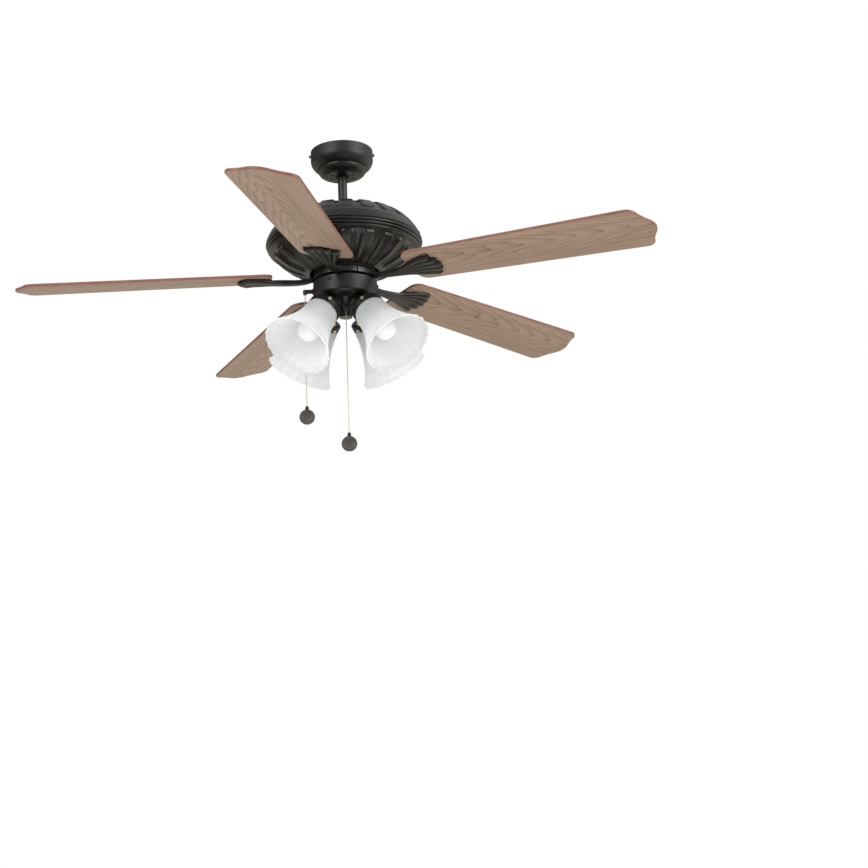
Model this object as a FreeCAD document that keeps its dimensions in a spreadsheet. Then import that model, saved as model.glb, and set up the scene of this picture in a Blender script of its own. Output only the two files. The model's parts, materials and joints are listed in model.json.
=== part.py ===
"""Five-blade ceiling fan with a four-lamp light kit, hung from a short downrod.

The frame has +Z up and its origin at the centre of the ceiling plane, where the hanger bracket bolts on.
Everything hangs below that plane, so heights are written as drops below the ceiling, in millimetres.
"""
import FreeCAD, Part
import math
import os
import re
from types import SimpleNamespace

from FreeCAD import Placement, Rotation, Vector

LENGTHS = {
    # running and locating clearances, and the overrun of cuts
    "fit_gap": 0.05,
    "chain_gap": 0.35,
    "cut_overrun": 4.0,
    # ceiling hanger bracket, a strap folded from one strip
    "bracket_half_length": 60.0,
    "bracket_width": 32.0,
    "bracket_sheet": 2.0,
    "bracket_leg_reach": 33.0,
    "bracket_seat_drop": 46.5,
    "bracket_tab_drop": 14.0,
    "bracket_hole_spacing": 89.0,
    "bracket_hole_radius": 2.75,
    "bracket_wire_hole_radius": 14.0,
    "bracket_entry_half_width": 11.5,
    # canopy
    "canopy_radius": 67.0,
    "canopy_depth": 60.0,
    "canopy_wall": 1.2,
    "canopy_screw_drop": 8.4,
    "canopy_vent_radius": 2.6,
    "canopy_vent_circle": 24.0,
    # hanger ball, downrod and their pins
    "ball_radius": 24.0,
    "ball_drop": 33.0,
    "ball_top_height": 12.0,
    "ball_foot_depth": 17.0,
    "rod_radius": 9.5,
    "rod_wall": 2.0,
    "rod_top_drop": 19.0,
    "rod_bottom_drop": 139.0,
    "pin_radius": 3.0,
    "ball_pin_length": 38.0,
    "clevis_pin_drop": 126.0,
    "pin_head_radius": 4.5,
    "pin_head_height": 2.0,
    # yoke that joins the rod to the motor shaft and carries the housing
    "yoke_top_drop": 116.0,
    "yoke_collar_radius": 16.0,
    "yoke_flange_radius": 42.0,
    "yoke_flange_thickness": 5.0,
    "yoke_hub_bottom_drop": 154.0,
    # motor
    "shaft_radius": 8.5,
    "shaft_bore_radius": 5.5,
    "bearing_radius": 17.5,
    "bearing_width": 11.0,
    "upper_bearing_drop": 166.0,
    "lower_bearing_drop": 248.0,
    "bearing_lip": 2.0,
    "stator_radius": 70.0,
    "stator_stack": 20.0,
    "stator_drop": 196.0,
    "stator_hub_radius": 30.0,
    "stator_slot_width": 5.0,
    "stator_slot_depth": 22.0,
    "winding_height": 11.0,
    "winding_inset": 5.0,
    "rotor_radius": 90.0,
    "rotor_wall": 4.0,
    "rotor_top_drop": 163.0,
    "rotor_split_drop": 206.0,
    "rotor_floor_drop": 238.0,
    "rotor_boss_radius": 62.0,
    "rotor_boss_wall": 10.0,
    # decorative housing
    "housing_radius": 160.0,
    "dome_top_drop": 137.0,
    "dome_hole_radius": 18.0,
    "dome_wall": 4.5,
    "housing_split_drop": 203.0,
    "bowl_bottom_drop": 271.0,
    "bowl_wall": 6.0,
    "bead_radius": 2.9,
    "flute_depth": 4.0,
    "dome_flute_depth": 3.0,
    "flute_corner": 8.0,
    "spigot_clearance": 1.0,
    "spigot_wall": 2.5,
    "spigot_height": 22.0,
    "dome_screw_circle": 33.0,
    "side_screw_drop": 188.0,
    # blades
    "blade_root_radius": 150.0,
    "blade_tip_radius": 662.0,
    "blade_root_width": 110.0,
    "blade_tip_width": 132.0,
    "blade_thickness": 5.5,
    "blade_plane_drop": 277.1,
    "blade_root_corner": 22.0,
    "tip_point": 26.5,
    "tip_corner": 20.0,
    "tip_hollow": 1.6,
    # blade irons
    "foot_inner_radius": 40.0,
    "foot_radius": 63.0,
    "foot_height": 13.0,
    "foot_gap": 2.6,
    "arm_width": 17.0,
    "arm_depth": 9.6,
    "shell_tip_radius": 212.0,
    "shell_pitch": 14.6,
    "lobe_radius": 8.4,
    "lobe_setback": 2.6,
    "lobe_sink": 0.6,
    "foot_screw_circle": 51.0,
    # fasteners
    "screw_radius": 2.0,
    "screw_head_radius": 4.2,
    "screw_head_height": 2.4,
    "blade_screw_length": 11.0,
    "blade_screw_radius_step": 26.0,
    "blade_screw_side": 17.0,
    "foot_screw_length": 21.0,
    "side_screw_length": 17.0,
    # switch housing and its plate
    "switch_top_drop": 290.6,
    "switch_radius": 65.0,
    "switch_wall": 1.6,
    "switch_bottom_drop": 318.0,
    "plate_thickness": 3.0,
    "plate_skirt": 11.0,
    "plate_hub_radius": 14.0,
    "plate_hub_depth": 12.0,
    "switch_screw_drop": 298.0,
    # light kit body, the pan under the switch housing with its hub
    "pan_depth": 7.6,
    "pan_edge_round": 7.0,
    "pan_wall": 2.4,
    "pan_lip": 6.0,
    "hub_top_radius": 25.0,
    "hub_radius": 13.0,
    "hub_cone_depth": 14.0,
    "hub_bottom_drop": 363.5,
    "stem_radius": 10.0,
    # lamp fitters, sockets, bulbs and glass
    "fitter_radial": 66.5,
    "fitter_drop": 364.3,
    "cup_radius": 34.0,
    "cup_wall": 1.5,
    "cup_depth": 17.0,
    "cup_edge_round": 6.0,
    "glass_length": 111.4,
    "glass_neck_radius": 28.4,
    "glass_neck_depth": 10.0,
    "glass_mouth_radius": 70.3,
    "glass_wall": 3.0,
    "socket_radius": 16.5,
    "socket_length": 33.0,
    "socket_bore_radius": 13.3,
    "socket_bore_depth": 22.0,
    "bulb_radius": 22.5,
    "bulb_center_depth": 62.0,
    "bulb_base_radius": 13.0,
    "bulb_neck_radius": 11.5,
    "bulb_neck_depth": 36.0,
    "thumb_radius": 1.6,
    "thumb_head_radius": 3.2,
    "thumb_head_height": 3.6,
    "thumb_back": 5.0,
    "thumb_standoff": 2.4,
    # pull switches, their chains and pendants
    "fan_nipple_drop": 306.4,
    "light_nipple_drop": 352.0,
    "nipple_radius": 4.4,
    "fan_nipple_reach": 17.0,
    "light_nipple_reach": 8.5,
    "nipple_flange_radius": 6.4,
    "nipple_flange_height": 2.0,
    "mouth_radius": 3.9,
    "mouth_depth": 6.2,
    "switch_body_side": 24.0,
    "case_setback": 3.9,
    "switch_body_height": 9.0,
    "light_body_side": 8.0,
    "chain_radius": 1.2,
    "fan_chain_length": 243.0,
    "light_chain_length": 258.4,
    "chain_hidden": 9.5,
    "pendant_radius": 15.5,
    "pendant_thickness": 7.0,
    "pendant_neck_radius": 3.9,
    "pendant_neck_height": 8.0,
    # capacitor and reversing switch inside the switch housing
    "capacitor_length": 36.0,
    "capacitor_width": 16.0,
    "capacitor_height": 20.0,
    "capacitor_offset": 30.0,
    "reverse_drop": 306.9,
    "reverse_plate_width": 22.0,
    "reverse_plate_height": 9.6,
    "reverse_plate_thickness": 1.6,
    "reverse_body_depth": 9.0,
    "reverse_slot_width": 11.0,
    "reverse_slot_height": 5.0,
    "reverse_knob_width": 4.4,
    "reverse_knob_height": 4.2,
    "reverse_knob_reach": 3.2,
}

ANGLES = {
    "blade_first_azimuth": -31.0,
    "blade_pitch": 11.2,
    "blade_droop": 3.04,
    "flute_first_azimuth": -87.4,
    "flute_span": 14.0,
    "side_screw_azimuth": -95.0,
    "switch_screw_azimuth": 1.0,
    "foot_screw_spread": 15.0,
    "shade_first_azimuth": -45.0,
    "shade_tilt": 50.0,
    "fan_pull_azimuth": 180.0,
    "light_pull_azimuth": -90.0,
    "vent_azimuth": 20.0,
}

COUNTS = {
    "blade_count": 5,
    "flute_count": 20,
    "shade_count": 4,
    "lobe_count": 5,
    "stator_slot_count": 12,
    "vent_count": 8,
    "dome_screw_count": 4,
    "side_screw_count": 4,
    "switch_screw_count": 3,
}

# Outlines as shares of a radius and a height, both measured from the top of the piece.
# A pair is the end of a straight stretch; four values are an arc's middle point and its end.
CANOPY_SHARES = [
    (1.0, 0.0), (1.0, 0.042), (0.980, 0.067), (0.980, 0.270),
    (0.934, 0.483, 0.806, 0.625), (0.761, 0.667), (0.672, 0.800, 0.510, 0.915), (0.231, 1.0),
]
DOME_SHARES = [(0.275, 0.0), (0.525, 0.105, 0.75, 0.245), (0.900, 0.560, 1.0, 1.0)]
BOWL_SHARES = [(0.938, 0.287), (0.844, 0.529, 0.719, 0.759), (0.594, 0.893, 0.45, 1.0)]
BEAD_SHARES = [(0.986, 0.074), (0.972, 0.159), (0.950, 0.240)]
GLASS_SHARES = [(0.0, 0.45), (0.04, 0.478, 0.10, 0.495), (0.32, 0.540, 0.54, 0.640), (0.79, 0.806, 1.0, 1.0)]
FLUTE_END_SHARES = (0.915, 0.535)
DOME_FLUTE_END_SHARES = (0.46, 0.925)
# Sections of the irons from foot to shell: how far along, how deep below the blade's plane and how far
# turned into its pitch, then the spread and girth of the strands, or the width and height of the neck.
STRAND_SHARES = [
    (0.274, 0.52, 0.0, 0.215, 0.31), (0.354, 0.76, 0.12, 0.215, 0.32), (0.439, 1.06, 0.35, 0.225, 0.34),
    (0.528, 1.10, 0.62, 0.255, 0.34), (0.613, 0.98, 0.85, 0.330, 0.39), (0.708, 0.63, 1.0, 0.510, 0.55),
    (0.811, 0.29, 1.0, 0.780, 0.79), (0.896, 0.08, 1.0, 0.940, 0.95),
]
NECK_SHARES = [
    (0.274, 0.21, 0.0, 1.12, 0.77), (0.354, 0.46, 0.12, 1.0, 0.83), (0.439, 0.68, 0.35, 0.94, 0.88),
    (0.528, 0.63, 0.62, 1.01, 0.92), (0.613, 0.52, 0.85, 1.25, 0.92), (0.708, 0.36, 1.0, 1.80, 0.73),
]
STRAND_TIP_SHARES = [(0.5, 0.866), (0.8, 0.6)]
TIP_CREST_SHARES = (0.774, 0.318)
THUMB_ANGLE_SHARES = (3 / 12, 7 / 12, 11 / 12)
BORE_END_SHARE = 3 / 4
NECK_SEAT_SHARE = 9 / 10
FULL_TURN = 360.0
BISECTIONS = 50

UP = Vector(0, 0, 1)
DOWN = Vector(0, 0, -1)
ORIGIN = Vector(0, 0, 0)

DOC = FreeCAD.newDocument("CeilingFan")
SHEET = DOC.addObject("Spreadsheet::Sheet", "Dims")
for row, (alias, value) in enumerate({**LENGTHS, **ANGLES, **COUNTS}.items(), 1):
    SHEET.set(f"A{row}", alias)
    SHEET.set(f"B{row}", str(value))
    SHEET.setAlias(f"B{row}", alias)
DOC.recompute()
S = SimpleNamespace(**{alias: SHEET.get(alias) for alias in {**LENGTHS, **ANGLES, **COUNTS}})
NODES = {}


def node(label, obj):
    """Register the object that stands for one sub-part."""
    obj.Label = label
    NODES[label] = obj
    return obj


def bind(obj, **sizes):
    """Tie an object's properties to expressions in the sheet's names."""
    for prop, text in sizes.items():
        obj.setExpression(prop, re.sub(r"[a-z]\w+", lambda word: "Dims." + word.group(0), text))
    return obj


def polar(radius, azimuth, height=0.0):
    """Point at a radius and azimuth in degrees round the fan's axis."""
    turn = math.radians(azimuth)
    return Vector(radius * math.cos(turn), radius * math.sin(turn), height)


def aimed(base, direction, side=None):
    """Placement whose Z axis points along a direction, and whose X axis lies near side."""
    if side is None:
        return Placement(base, Rotation(UP, direction))
    return Placement(base, Rotation(side, direction.cross(side), direction, "ZXY"))


def around(count, first):
    """Evenly spaced azimuths."""
    return [first + FULL_TURN * index / count for index in range(int(count))]


def turned_about(count, first):
    """Placements evenly turned round the fan's axis."""
    return [Placement(ORIGIN, Rotation(UP, azimuth)) for azimuth in around(count, first)]


def cylinder(name, base, direction=UP, **sizes):
    obj = bind(DOC.addObject("Part::Cylinder", name), **sizes)
    obj.Placement = aimed(base, direction)
    return obj


def box(name, placement, **sizes):
    obj = bind(DOC.addObject("Part::Box", name), **sizes)
    obj.Placement = placement
    return obj


def cut(name, base, *tools):
    if len(tools) > 1:
        tools = [fuse(name + "_tools", *tools)]
    obj = DOC.addObject("Part::Cut", name)
    obj.Base = base
    obj.Tool = tools[0]
    return obj


def fuse(name, *shapes):
    obj = DOC.addObject("Part::MultiFuse", name)
    obj.Shapes = list(shapes)
    return obj


def feature(name, shape):
    obj = DOC.addObject("Part::Feature", name)
    obj.Shape = shape
    return obj


def tube(name, drop, length, radius, bore):
    """Upright tube whose top is at a drop below the ceiling; the sizes are sheet expressions."""
    top = Vector(0, 0, -getattr(S, drop))
    outer = cylinder(name + "_outer", top, DOWN, Radius=radius, Height=length)
    inner = cylinder(name + "_bore", top + UP * S.cut_overrun, DOWN, Radius=bore,
                     Height=f"{length} + 2 * cut_overrun")
    return cut(name, outer, inner)


def point(radius, drop):
    """Point of a profile in the XZ half plane."""
    return Vector(radius, 0, -drop)


def edges_through(start, steps):
    """Edges from a start through straight ends (one point) and arcs (middle and end)."""
    edges = []
    for step in steps:
        if len(step) == 1:
            edges.append(Part.LineSegment(start, step[0]).toShape())
        else:
            edges.append(Part.Arc(start, step[0], step[1]).toShape())
        start = step[-1]
    return edges


def share_steps(shares, radius, height, top):
    """Turn outline shares into points below a top."""
    steps = []
    for entry in shares:
        pairs = zip(entry[0::2], entry[1::2])
        steps.append([point(across * radius, top + down * height) for across, down in pairs])
    return steps


def thick_profile(edges, wall):
    """Closed profile between an outline and its offset towards the axis or the inside."""
    wire = Part.Wire(edges)
    sides = [wire.makeOffset2D(sign * wall, 2, True, True) for sign in (1, -1)]
    inside = min(sides, key=lambda face: sum(edge.CenterOfMass.x for edge in face.Edges) / len(face.Edges))
    return inside.Edges


def closed_profile(points):
    """Straight-sided closed profile."""
    return Part.makePolygon(points + points[:1]).Edges


def draw(sketch, edges):
    """Add lines and arcs, drawn in the XZ plane, to a sketch that lies there."""
    flatten = Placement(ORIGIN, Rotation(Vector(1, 0, 0), -90))
    for edge in edges:
        flat = edge.transformed(flatten.Matrix)
        curve = flat.Curve
        ends = [vertex.Point for vertex in flat.Vertexes]
        if isinstance(curve, Part.Line):
            sketch.addGeometry(Part.LineSegment(ends[0], ends[1]))
        elif len(ends) == 1:
            sketch.addGeometry(Part.Circle(curve.Center, UP, curve.Radius))
        else:
            first, last = flat.FirstParameter, flat.LastParameter
            middle = flat.valueAt((first + last) / 2)
            sketch.addGeometry(Part.Arc(flat.valueAt(first), middle, flat.valueAt(last)))


def origin_plane(body, role):
    return next(item for item in body.Origin.OriginFeatures if item.Role == role)


def sketch_on(body, role, name):
    sketch = body.newObject("Sketcher::SketchObject", name)
    sketch.AttachmentSupport = (origin_plane(body, role), [""])
    sketch.MapMode = "FlatFace"
    return sketch


def new_body(name):
    return DOC.addObject("PartDesign::Body", name)


def add_revolution(body, name, edges):
    """Turn a profile in the XZ plane round the body's Z axis."""
    sketch = sketch_on(body, "XZ_Plane", name + "_profile")
    draw(sketch, edges)
    turn = body.newObject("PartDesign::Revolution", name)
    turn.Profile = sketch
    turn.ReferenceAxis = (sketch, ["V_Axis"])
    turn.Angle = FULL_TURN
    return turn


def turned_body(name, *profiles):
    body = new_body(name)
    for index, edges in enumerate(profiles):
        add_revolution(body, f"{name}_turn_{index}", edges)
    return body


def shape_of(obj):
    DOC.recompute()
    return obj.Shape


def copies(source, labels, placements):
    """Separate nodes that repeat one shape."""
    shape = shape_of(source)
    for label, placement in zip(labels, placements):
        obj = feature(label, shape.copy())
        obj.Placement = placement.multiply(obj.Placement)
        node(label, obj)


def screw_shape(length, radius, head_radius, head_height):
    """Domed screw: the head sits on the XY plane and the shank runs down from it."""
    profile = edges_through(
        Vector(0, 0, head_height),
        [
            [Vector(head_radius * math.sin(math.pi / 4), 0, head_height * math.sin(math.pi / 3)),
             Vector(head_radius, 0, 0)],
            [Vector(radius, 0, 0)],
            [Vector(radius, 0, -length)],
            [Vector(0, 0, -length)],
            [Vector(0, 0, head_height)],
        ],
    )
    return Part.Face(Part.Wire(profile)).revolve(ORIGIN, UP, FULL_TURN)


def placed(shape, placements):
    """Copies of one shape, each moved by a placement."""
    solids = []
    for placement in placements:
        item = shape.copy()
        item.Placement = placement.multiply(item.Placement)
        solids.append(item)
    return solids


def group(label, shape, placements):
    """One node of equal fasteners, each a solid of its own."""
    return node(label, feature(label, Part.makeCompound(placed(shape, placements))))


def hanger_bracket():
    """Hat-shaped strap: a ceiling plate, two legs, a ball seat and two canopy tabs."""
    half, sheet, leg = S.bracket_half_length, S.bracket_sheet, S.bracket_leg_reach
    seat, tab = S.bracket_seat_drop, S.bracket_tab_drop
    outer = [
        point(-half, 0), point(half, 0), point(half, tab), point(half - sheet, tab),
        point(half - sheet, sheet), point(leg, sheet), point(leg, seat), point(-leg, seat),
        point(-leg, sheet),
        point(sheet - half, sheet), point(sheet - half, tab), point(-half, tab),
    ]
    inner = [
        point(sheet - leg, sheet), point(leg - sheet, sheet),
        point(leg - sheet, seat - sheet), point(sheet - leg, seat - sheet),
    ]
    body = new_body("bracket_strap")
    sketch = sketch_on(body, "XZ_Plane", "bracket_section")
    draw(sketch, closed_profile(outer) + closed_profile(inner))
    strap = body.newObject("PartDesign::Pad", "bracket_pad")
    strap.Profile = sketch
    strap.Midplane = True
    bind(strap, Length="bracket_width")
    tools = [
        cylinder("bracket_wire_hole", ORIGIN + UP * S.cut_overrun, DOWN, Radius="bracket_wire_hole_radius",
                 Height="bracket_sheet + 2 * cut_overrun"),
    ]
    for side in (-1, 1):
        hole = Vector(side * S.bracket_hole_spacing / 2, 0, S.cut_overrun)
        tools.append(cylinder(f"bracket_bolt_hole_{side}", hole, DOWN, Radius="bracket_hole_radius",
                              Height="bracket_sheet + 2 * cut_overrun"))
        tapped = Vector(side * (half + S.cut_overrun), 0, -S.canopy_screw_drop)
        tools.append(cylinder(f"bracket_tab_hole_{side}", tapped, Vector(-side, 0, 0),
                              Radius="screw_radius + fit_gap", Height="bracket_sheet + 2 * cut_overrun"))
    ball = bind(DOC.addObject("Part::Sphere", "bracket_ball_seat"), Radius="ball_radius + fit_gap")
    ball.Placement.Base = point(0, S.ball_drop)
    tools.append(ball)
    slot = Placement(Vector(-S.bracket_entry_half_width, 0, -seat - S.cut_overrun), Rotation())
    tools.append(box("bracket_entry", slot, Length="2 * bracket_entry_half_width", Width="bracket_width",
                     Height="2 * cut_overrun + bracket_sheet"))
    node("hanger_bracket", cut("bracket", body, *tools))


def canopy():
    """Thin stepped bowl over the bracket, with vents round the rod and two side screws."""
    start, *rest = share_steps(CANOPY_SHARES, S.canopy_radius, S.canopy_depth, 0)
    shell = turned_body("canopy_shell", thick_profile(edges_through(start[0], rest), S.canopy_wall))
    tools = []
    for index, azimuth in enumerate(around(S.vent_count, S.vent_azimuth)):
        base = polar(S.canopy_vent_circle, azimuth, -S.canopy_depth - S.cut_overrun)
        tools.append(cylinder(f"canopy_vent_{index}", base, UP, Radius="canopy_vent_radius",
                              Height="canopy_wall + 4 * cut_overrun"))
    seats = []
    for side in (-1, 1):
        base = Vector(side * (S.canopy_radius + S.cut_overrun), 0, -S.canopy_screw_drop)
        tools.append(cylinder(f"canopy_screw_hole_{side}", base, Vector(-side, 0, 0),
                              Radius="screw_radius + fit_gap", Height="4 * cut_overrun"))
        wall = CANOPY_SHARES[3][0] * S.canopy_radius
        seats.append(aimed(Vector(side * wall, 0, -S.canopy_screw_drop), Vector(side, 0, 0)))
    node("canopy", cut("canopy_cut", shell, *tools))
    reach = CANOPY_SHARES[3][0] * S.canopy_radius - S.bracket_half_length + 2 * S.bracket_sheet
    screw = screw_shape(reach, S.screw_radius, S.screw_head_radius, S.screw_head_height)
    group("canopy_screws", screw, seats)


def hanger():
    """Ball that rocks in the bracket, the downrod, and the cross pin that locks them."""
    top, foot = S.ball_top_height, S.ball_foot_depth
    top_radius = math.sqrt(S.ball_radius ** 2 - top ** 2)
    foot_radius = math.sqrt(S.ball_radius ** 2 - foot ** 2)
    bore = S.rod_radius + S.fit_gap
    middle = S.ball_drop
    profile = edges_through(
        point(bore, middle - top),
        [
            [point(top_radius, middle - top)],
            [point(S.ball_radius, middle), point(foot_radius, middle + foot)],
            [point(bore, middle + foot)],
            [point(bore, middle - top)],
        ],
    )
    ball = turned_body("ball_body", profile)
    start = Vector(-S.ball_pin_length / 2, 0, -middle)
    hole = cylinder("ball_pin_hole", start, Vector(1, 0, 0), Radius="pin_radius + fit_gap",
                    Height="ball_pin_length")
    node("hanger_ball", cut("ball", ball, hole))
    pin = cylinder("hanger_pin", start, Vector(1, 0, 0), Radius="pin_radius", Height="ball_pin_length")
    node("hanger_pin", pin)
    rod = tube("rod_tube", "rod_top_drop", "rod_bottom_drop - rod_top_drop", "rod_radius",
               "rod_radius - rod_wall")
    cross = Vector(-S.yoke_collar_radius - S.cut_overrun, 0, -S.clevis_pin_drop)
    rod_hole = cylinder("rod_clevis_hole", cross, Vector(1, 0, 0), Radius="pin_radius + fit_gap",
                        Height="2 * yoke_collar_radius + 2 * cut_overrun")
    top_hole = cylinder("rod_ball_hole", start, Vector(1, 0, 0), Radius="pin_radius + fit_gap",
                        Height="ball_pin_length")
    node("downrod", cut("rod", rod, rod_hole, top_hole))


def yoke():
    """Coupling: a collar round the rod's end, the flange under the dome and the shaft hub."""
    flange = S.dome_top_drop + S.dome_wall
    bore = S.rod_radius + S.fit_gap
    hub = S.shaft_radius + S.fit_gap
    seat = S.rod_bottom_drop
    body = turned_body("yoke_body", closed_profile([
        point(bore, S.yoke_top_drop), point(S.yoke_collar_radius, S.yoke_top_drop),
        point(S.yoke_collar_radius, flange), point(S.yoke_flange_radius, flange),
        point(S.yoke_flange_radius, flange + S.yoke_flange_thickness),
        point(S.yoke_collar_radius, flange + S.yoke_flange_thickness),
        point(S.yoke_collar_radius, S.yoke_hub_bottom_drop), point(hub, S.yoke_hub_bottom_drop),
        point(hub, seat), point(bore, seat),
    ]))
    cross = Vector(-S.yoke_collar_radius - S.cut_overrun, 0, -S.clevis_pin_drop)
    tools = [cylinder("yoke_clevis_hole", cross, Vector(1, 0, 0), Radius="pin_radius + fit_gap",
                      Height="2 * yoke_collar_radius + 2 * cut_overrun")]
    for index, azimuth in enumerate(around(S.dome_screw_count, FULL_TURN / 8)):
        base = polar(S.dome_screw_circle, azimuth, -flange + S.cut_overrun)
        tools.append(cylinder(f"yoke_screw_hole_{index}", base, DOWN, Radius="screw_radius + fit_gap",
                              Height="2 * cut_overrun + yoke_flange_thickness"))
    node("motor_yoke", cut("yoke_cut", body, *tools))
    pin = screw_shape(2 * S.yoke_collar_radius + S.pin_head_height, S.pin_radius, S.pin_head_radius,
                      S.pin_head_height)
    group("clevis_pin", pin, [aimed(Vector(S.yoke_collar_radius, 0, -S.clevis_pin_drop), Vector(1, 0, 0))])


def motor_static():
    """Hollow shaft, slotted stator stack and its end turns."""
    shaft = tube("shaft_tube", "rod_bottom_drop", "switch_top_drop + plate_hub_depth - rod_bottom_drop",
                 "shaft_radius", "shaft_bore_radius")
    node("motor_shaft", shaft)
    body = new_body("stator_body")
    sketch = sketch_on(body, "XY_Plane", "stator_ring")
    for radius in (S.stator_radius, S.shaft_radius + S.fit_gap):
        sketch.addGeometry(Part.Circle(ORIGIN, UP, radius))
    stack = body.newObject("PartDesign::Pad", "stator_stack_pad")
    stack.Profile = sketch
    bind(stack, Length="stator_stack")
    slot = sketch_on(body, "XY_Plane", "stator_slot")
    inner = S.stator_radius - S.stator_slot_depth
    outer = S.stator_radius + S.cut_overrun
    half = S.stator_slot_width / 2
    corners = [
        Vector(inner, -half, 0), Vector(outer, -half, 0), Vector(outer, half, 0), Vector(inner, half, 0),
    ]
    for first, second in zip(corners, corners[1:] + corners[:1]):
        slot.addGeometry(Part.LineSegment(first, second))
    pocket = body.newObject("PartDesign::Pocket", "stator_slot_cut")
    pocket.Profile = slot
    pocket.Type = "ThroughAll"
    pocket.Reversed = True
    pattern = body.newObject("PartDesign::PolarPattern", "stator_slots")
    pattern.Originals = [pocket]
    pattern.Axis = (sketch, ["N_Axis"])
    pattern.Angle = FULL_TURN
    bind(pattern, Occurrences="stator_slot_count")
    body.Tip = pattern
    body.Placement.Base = point(0, S.stator_drop + S.stator_stack)
    node("stator_core", body)
    inside, outside = S.stator_hub_radius, S.stator_radius - S.winding_inset
    rings = []
    for top, rise in ((S.stator_drop, -1), (S.stator_drop + S.stator_stack, 1)):
        far = top + rise * S.winding_height
        crown = [point((inside + outside) / 2, far), point(outside, top)]
        face = Part.Face(Part.Wire(edges_through(point(inside, top), [crown, [point(inside, top)]])))
        rings.append(face.revolve(ORIGIN, UP, FULL_TURN))
    node("stator_windings", feature("windings", Part.makeCompound(rings)))


def motor_rotor():
    """Two bearings and the two covers that turn on them and carry the blade irons."""
    seat = S.bearing_radius + S.fit_gap
    boss = seat + S.rotor_wall
    for label, drop in (("upper_bearing", "upper_bearing_drop"), ("lower_bearing", "lower_bearing_drop")):
        node(label, tube(label, drop, "bearing_width", "bearing_radius", "shaft_radius + fit_gap"))
    mouth = S.bearing_radius - S.bearing_lip
    top, split, floor, wall = S.rotor_top_drop, S.rotor_split_drop, S.rotor_floor_drop, S.rotor_wall
    upper_end = S.upper_bearing_drop + S.bearing_width
    node("rotor_upper_cover", turned_body("rotor_upper", closed_profile([
        point(mouth, top), point(S.rotor_radius, top), point(S.rotor_radius, split),
        point(S.rotor_radius - wall, split), point(S.rotor_radius - wall, top + wall),
        point(boss, top + wall), point(boss, upper_end), point(seat, upper_end),
        point(seat, S.upper_bearing_drop),
        point(mouth, S.upper_bearing_drop),
    ])))
    bottom = S.bowl_bottom_drop
    lower_end = S.lower_bearing_drop + S.bearing_width
    step = S.rotor_boss_radius - S.rotor_boss_wall
    body = turned_body("rotor_lower", closed_profile([
        point(S.rotor_radius, split), point(S.rotor_radius, floor), point(S.rotor_boss_radius, floor),
        point(S.rotor_boss_radius, bottom), point(mouth, bottom), point(mouth, lower_end),
        point(seat, lower_end), point(seat, S.lower_bearing_drop), point(boss, S.lower_bearing_drop),
        point(boss, bottom - 2 * wall),
        point(step, bottom - 2 * wall), point(step, floor - wall), point(S.rotor_radius - wall, floor - wall),
        point(S.rotor_radius - wall, split),
    ]))
    tools = []
    for index, place in enumerate(foot_screw_places()):
        base = place.Base + UP * -S.cut_overrun
        tools.append(cylinder(f"rotor_screw_hole_{index}", base, UP, Radius="screw_radius + fit_gap",
                              Height="foot_screw_length + cut_overrun"))
    node("rotor_lower_cover", cut("rotor_lower_cut", body, *tools))


def foot_screw_places():
    """Screws that come up through the feet of the irons, heads down."""
    bottom = S.bowl_bottom_drop + S.foot_height
    return [
        aimed(polar(S.foot_screw_circle, azimuth + side * S.foot_screw_spread, -bottom), DOWN)
        for azimuth in around(S.blade_count, S.blade_first_azimuth) for side in (-1, 1)
    ]


def parameter_at(edge, radius):
    """Parameter of an edge where it crosses a radius, held to the edge's own ends."""
    first, last = edge.FirstParameter, edge.LastParameter
    rising = edge.valueAt(last).x > edge.valueAt(first).x
    for _ in range(BISECTIONS):
        middle = (first + last) / 2
        if (edge.valueAt(middle).x < radius) == rising:
            first = middle
        else:
            last = middle
    return (first + last) / 2


def clipped(edges, low, high):
    """The part of an outline that lies between two radii."""
    kept = []
    for edge in edges:
        first, last = sorted((parameter_at(edge, low), parameter_at(edge, high)))
        if edge.Curve.length(first, last) > S.fit_gap:
            kept.append(edge.Curve.toShape(first, last))
    return Part.Wire(kept)


def through_middle(edge):
    """Draw a line or an arc again from its ends and its middle."""
    first, last = edge.FirstParameter, edge.LastParameter
    ends = [edge.valueAt(first), edge.valueAt(last)]
    if isinstance(edge.Curve, Part.Line):
        return Part.LineSegment(*ends).toShape()
    return Part.Arc(ends[0], edge.valueAt((first + last) / 2), ends[1]).toShape()


def flute_prism(low, high):
    """Upright prism over one flute's plan: a sector with rounded corners, centred on +X."""
    half = S.flute_span / 2
    corners = [polar(low, -half), polar(high, -half), polar(high, half), polar(low, half)]
    plan = edges_through(corners[0], [
        [corners[1]], [polar(high, 0), corners[2]], [corners[3]], [polar(low, 0), corners[0]],
    ])
    prism = Part.Face(Part.Wire(plan)).extrude(DOWN * (S.bowl_bottom_drop + S.cut_overrun))
    upright = [edge for edge in prism.Edges if abs(edge.tangentAt(edge.FirstParameter).z) > math.sqrt(1 / 2)]
    return prism.makeFillet(S.flute_corner, upright)


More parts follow.
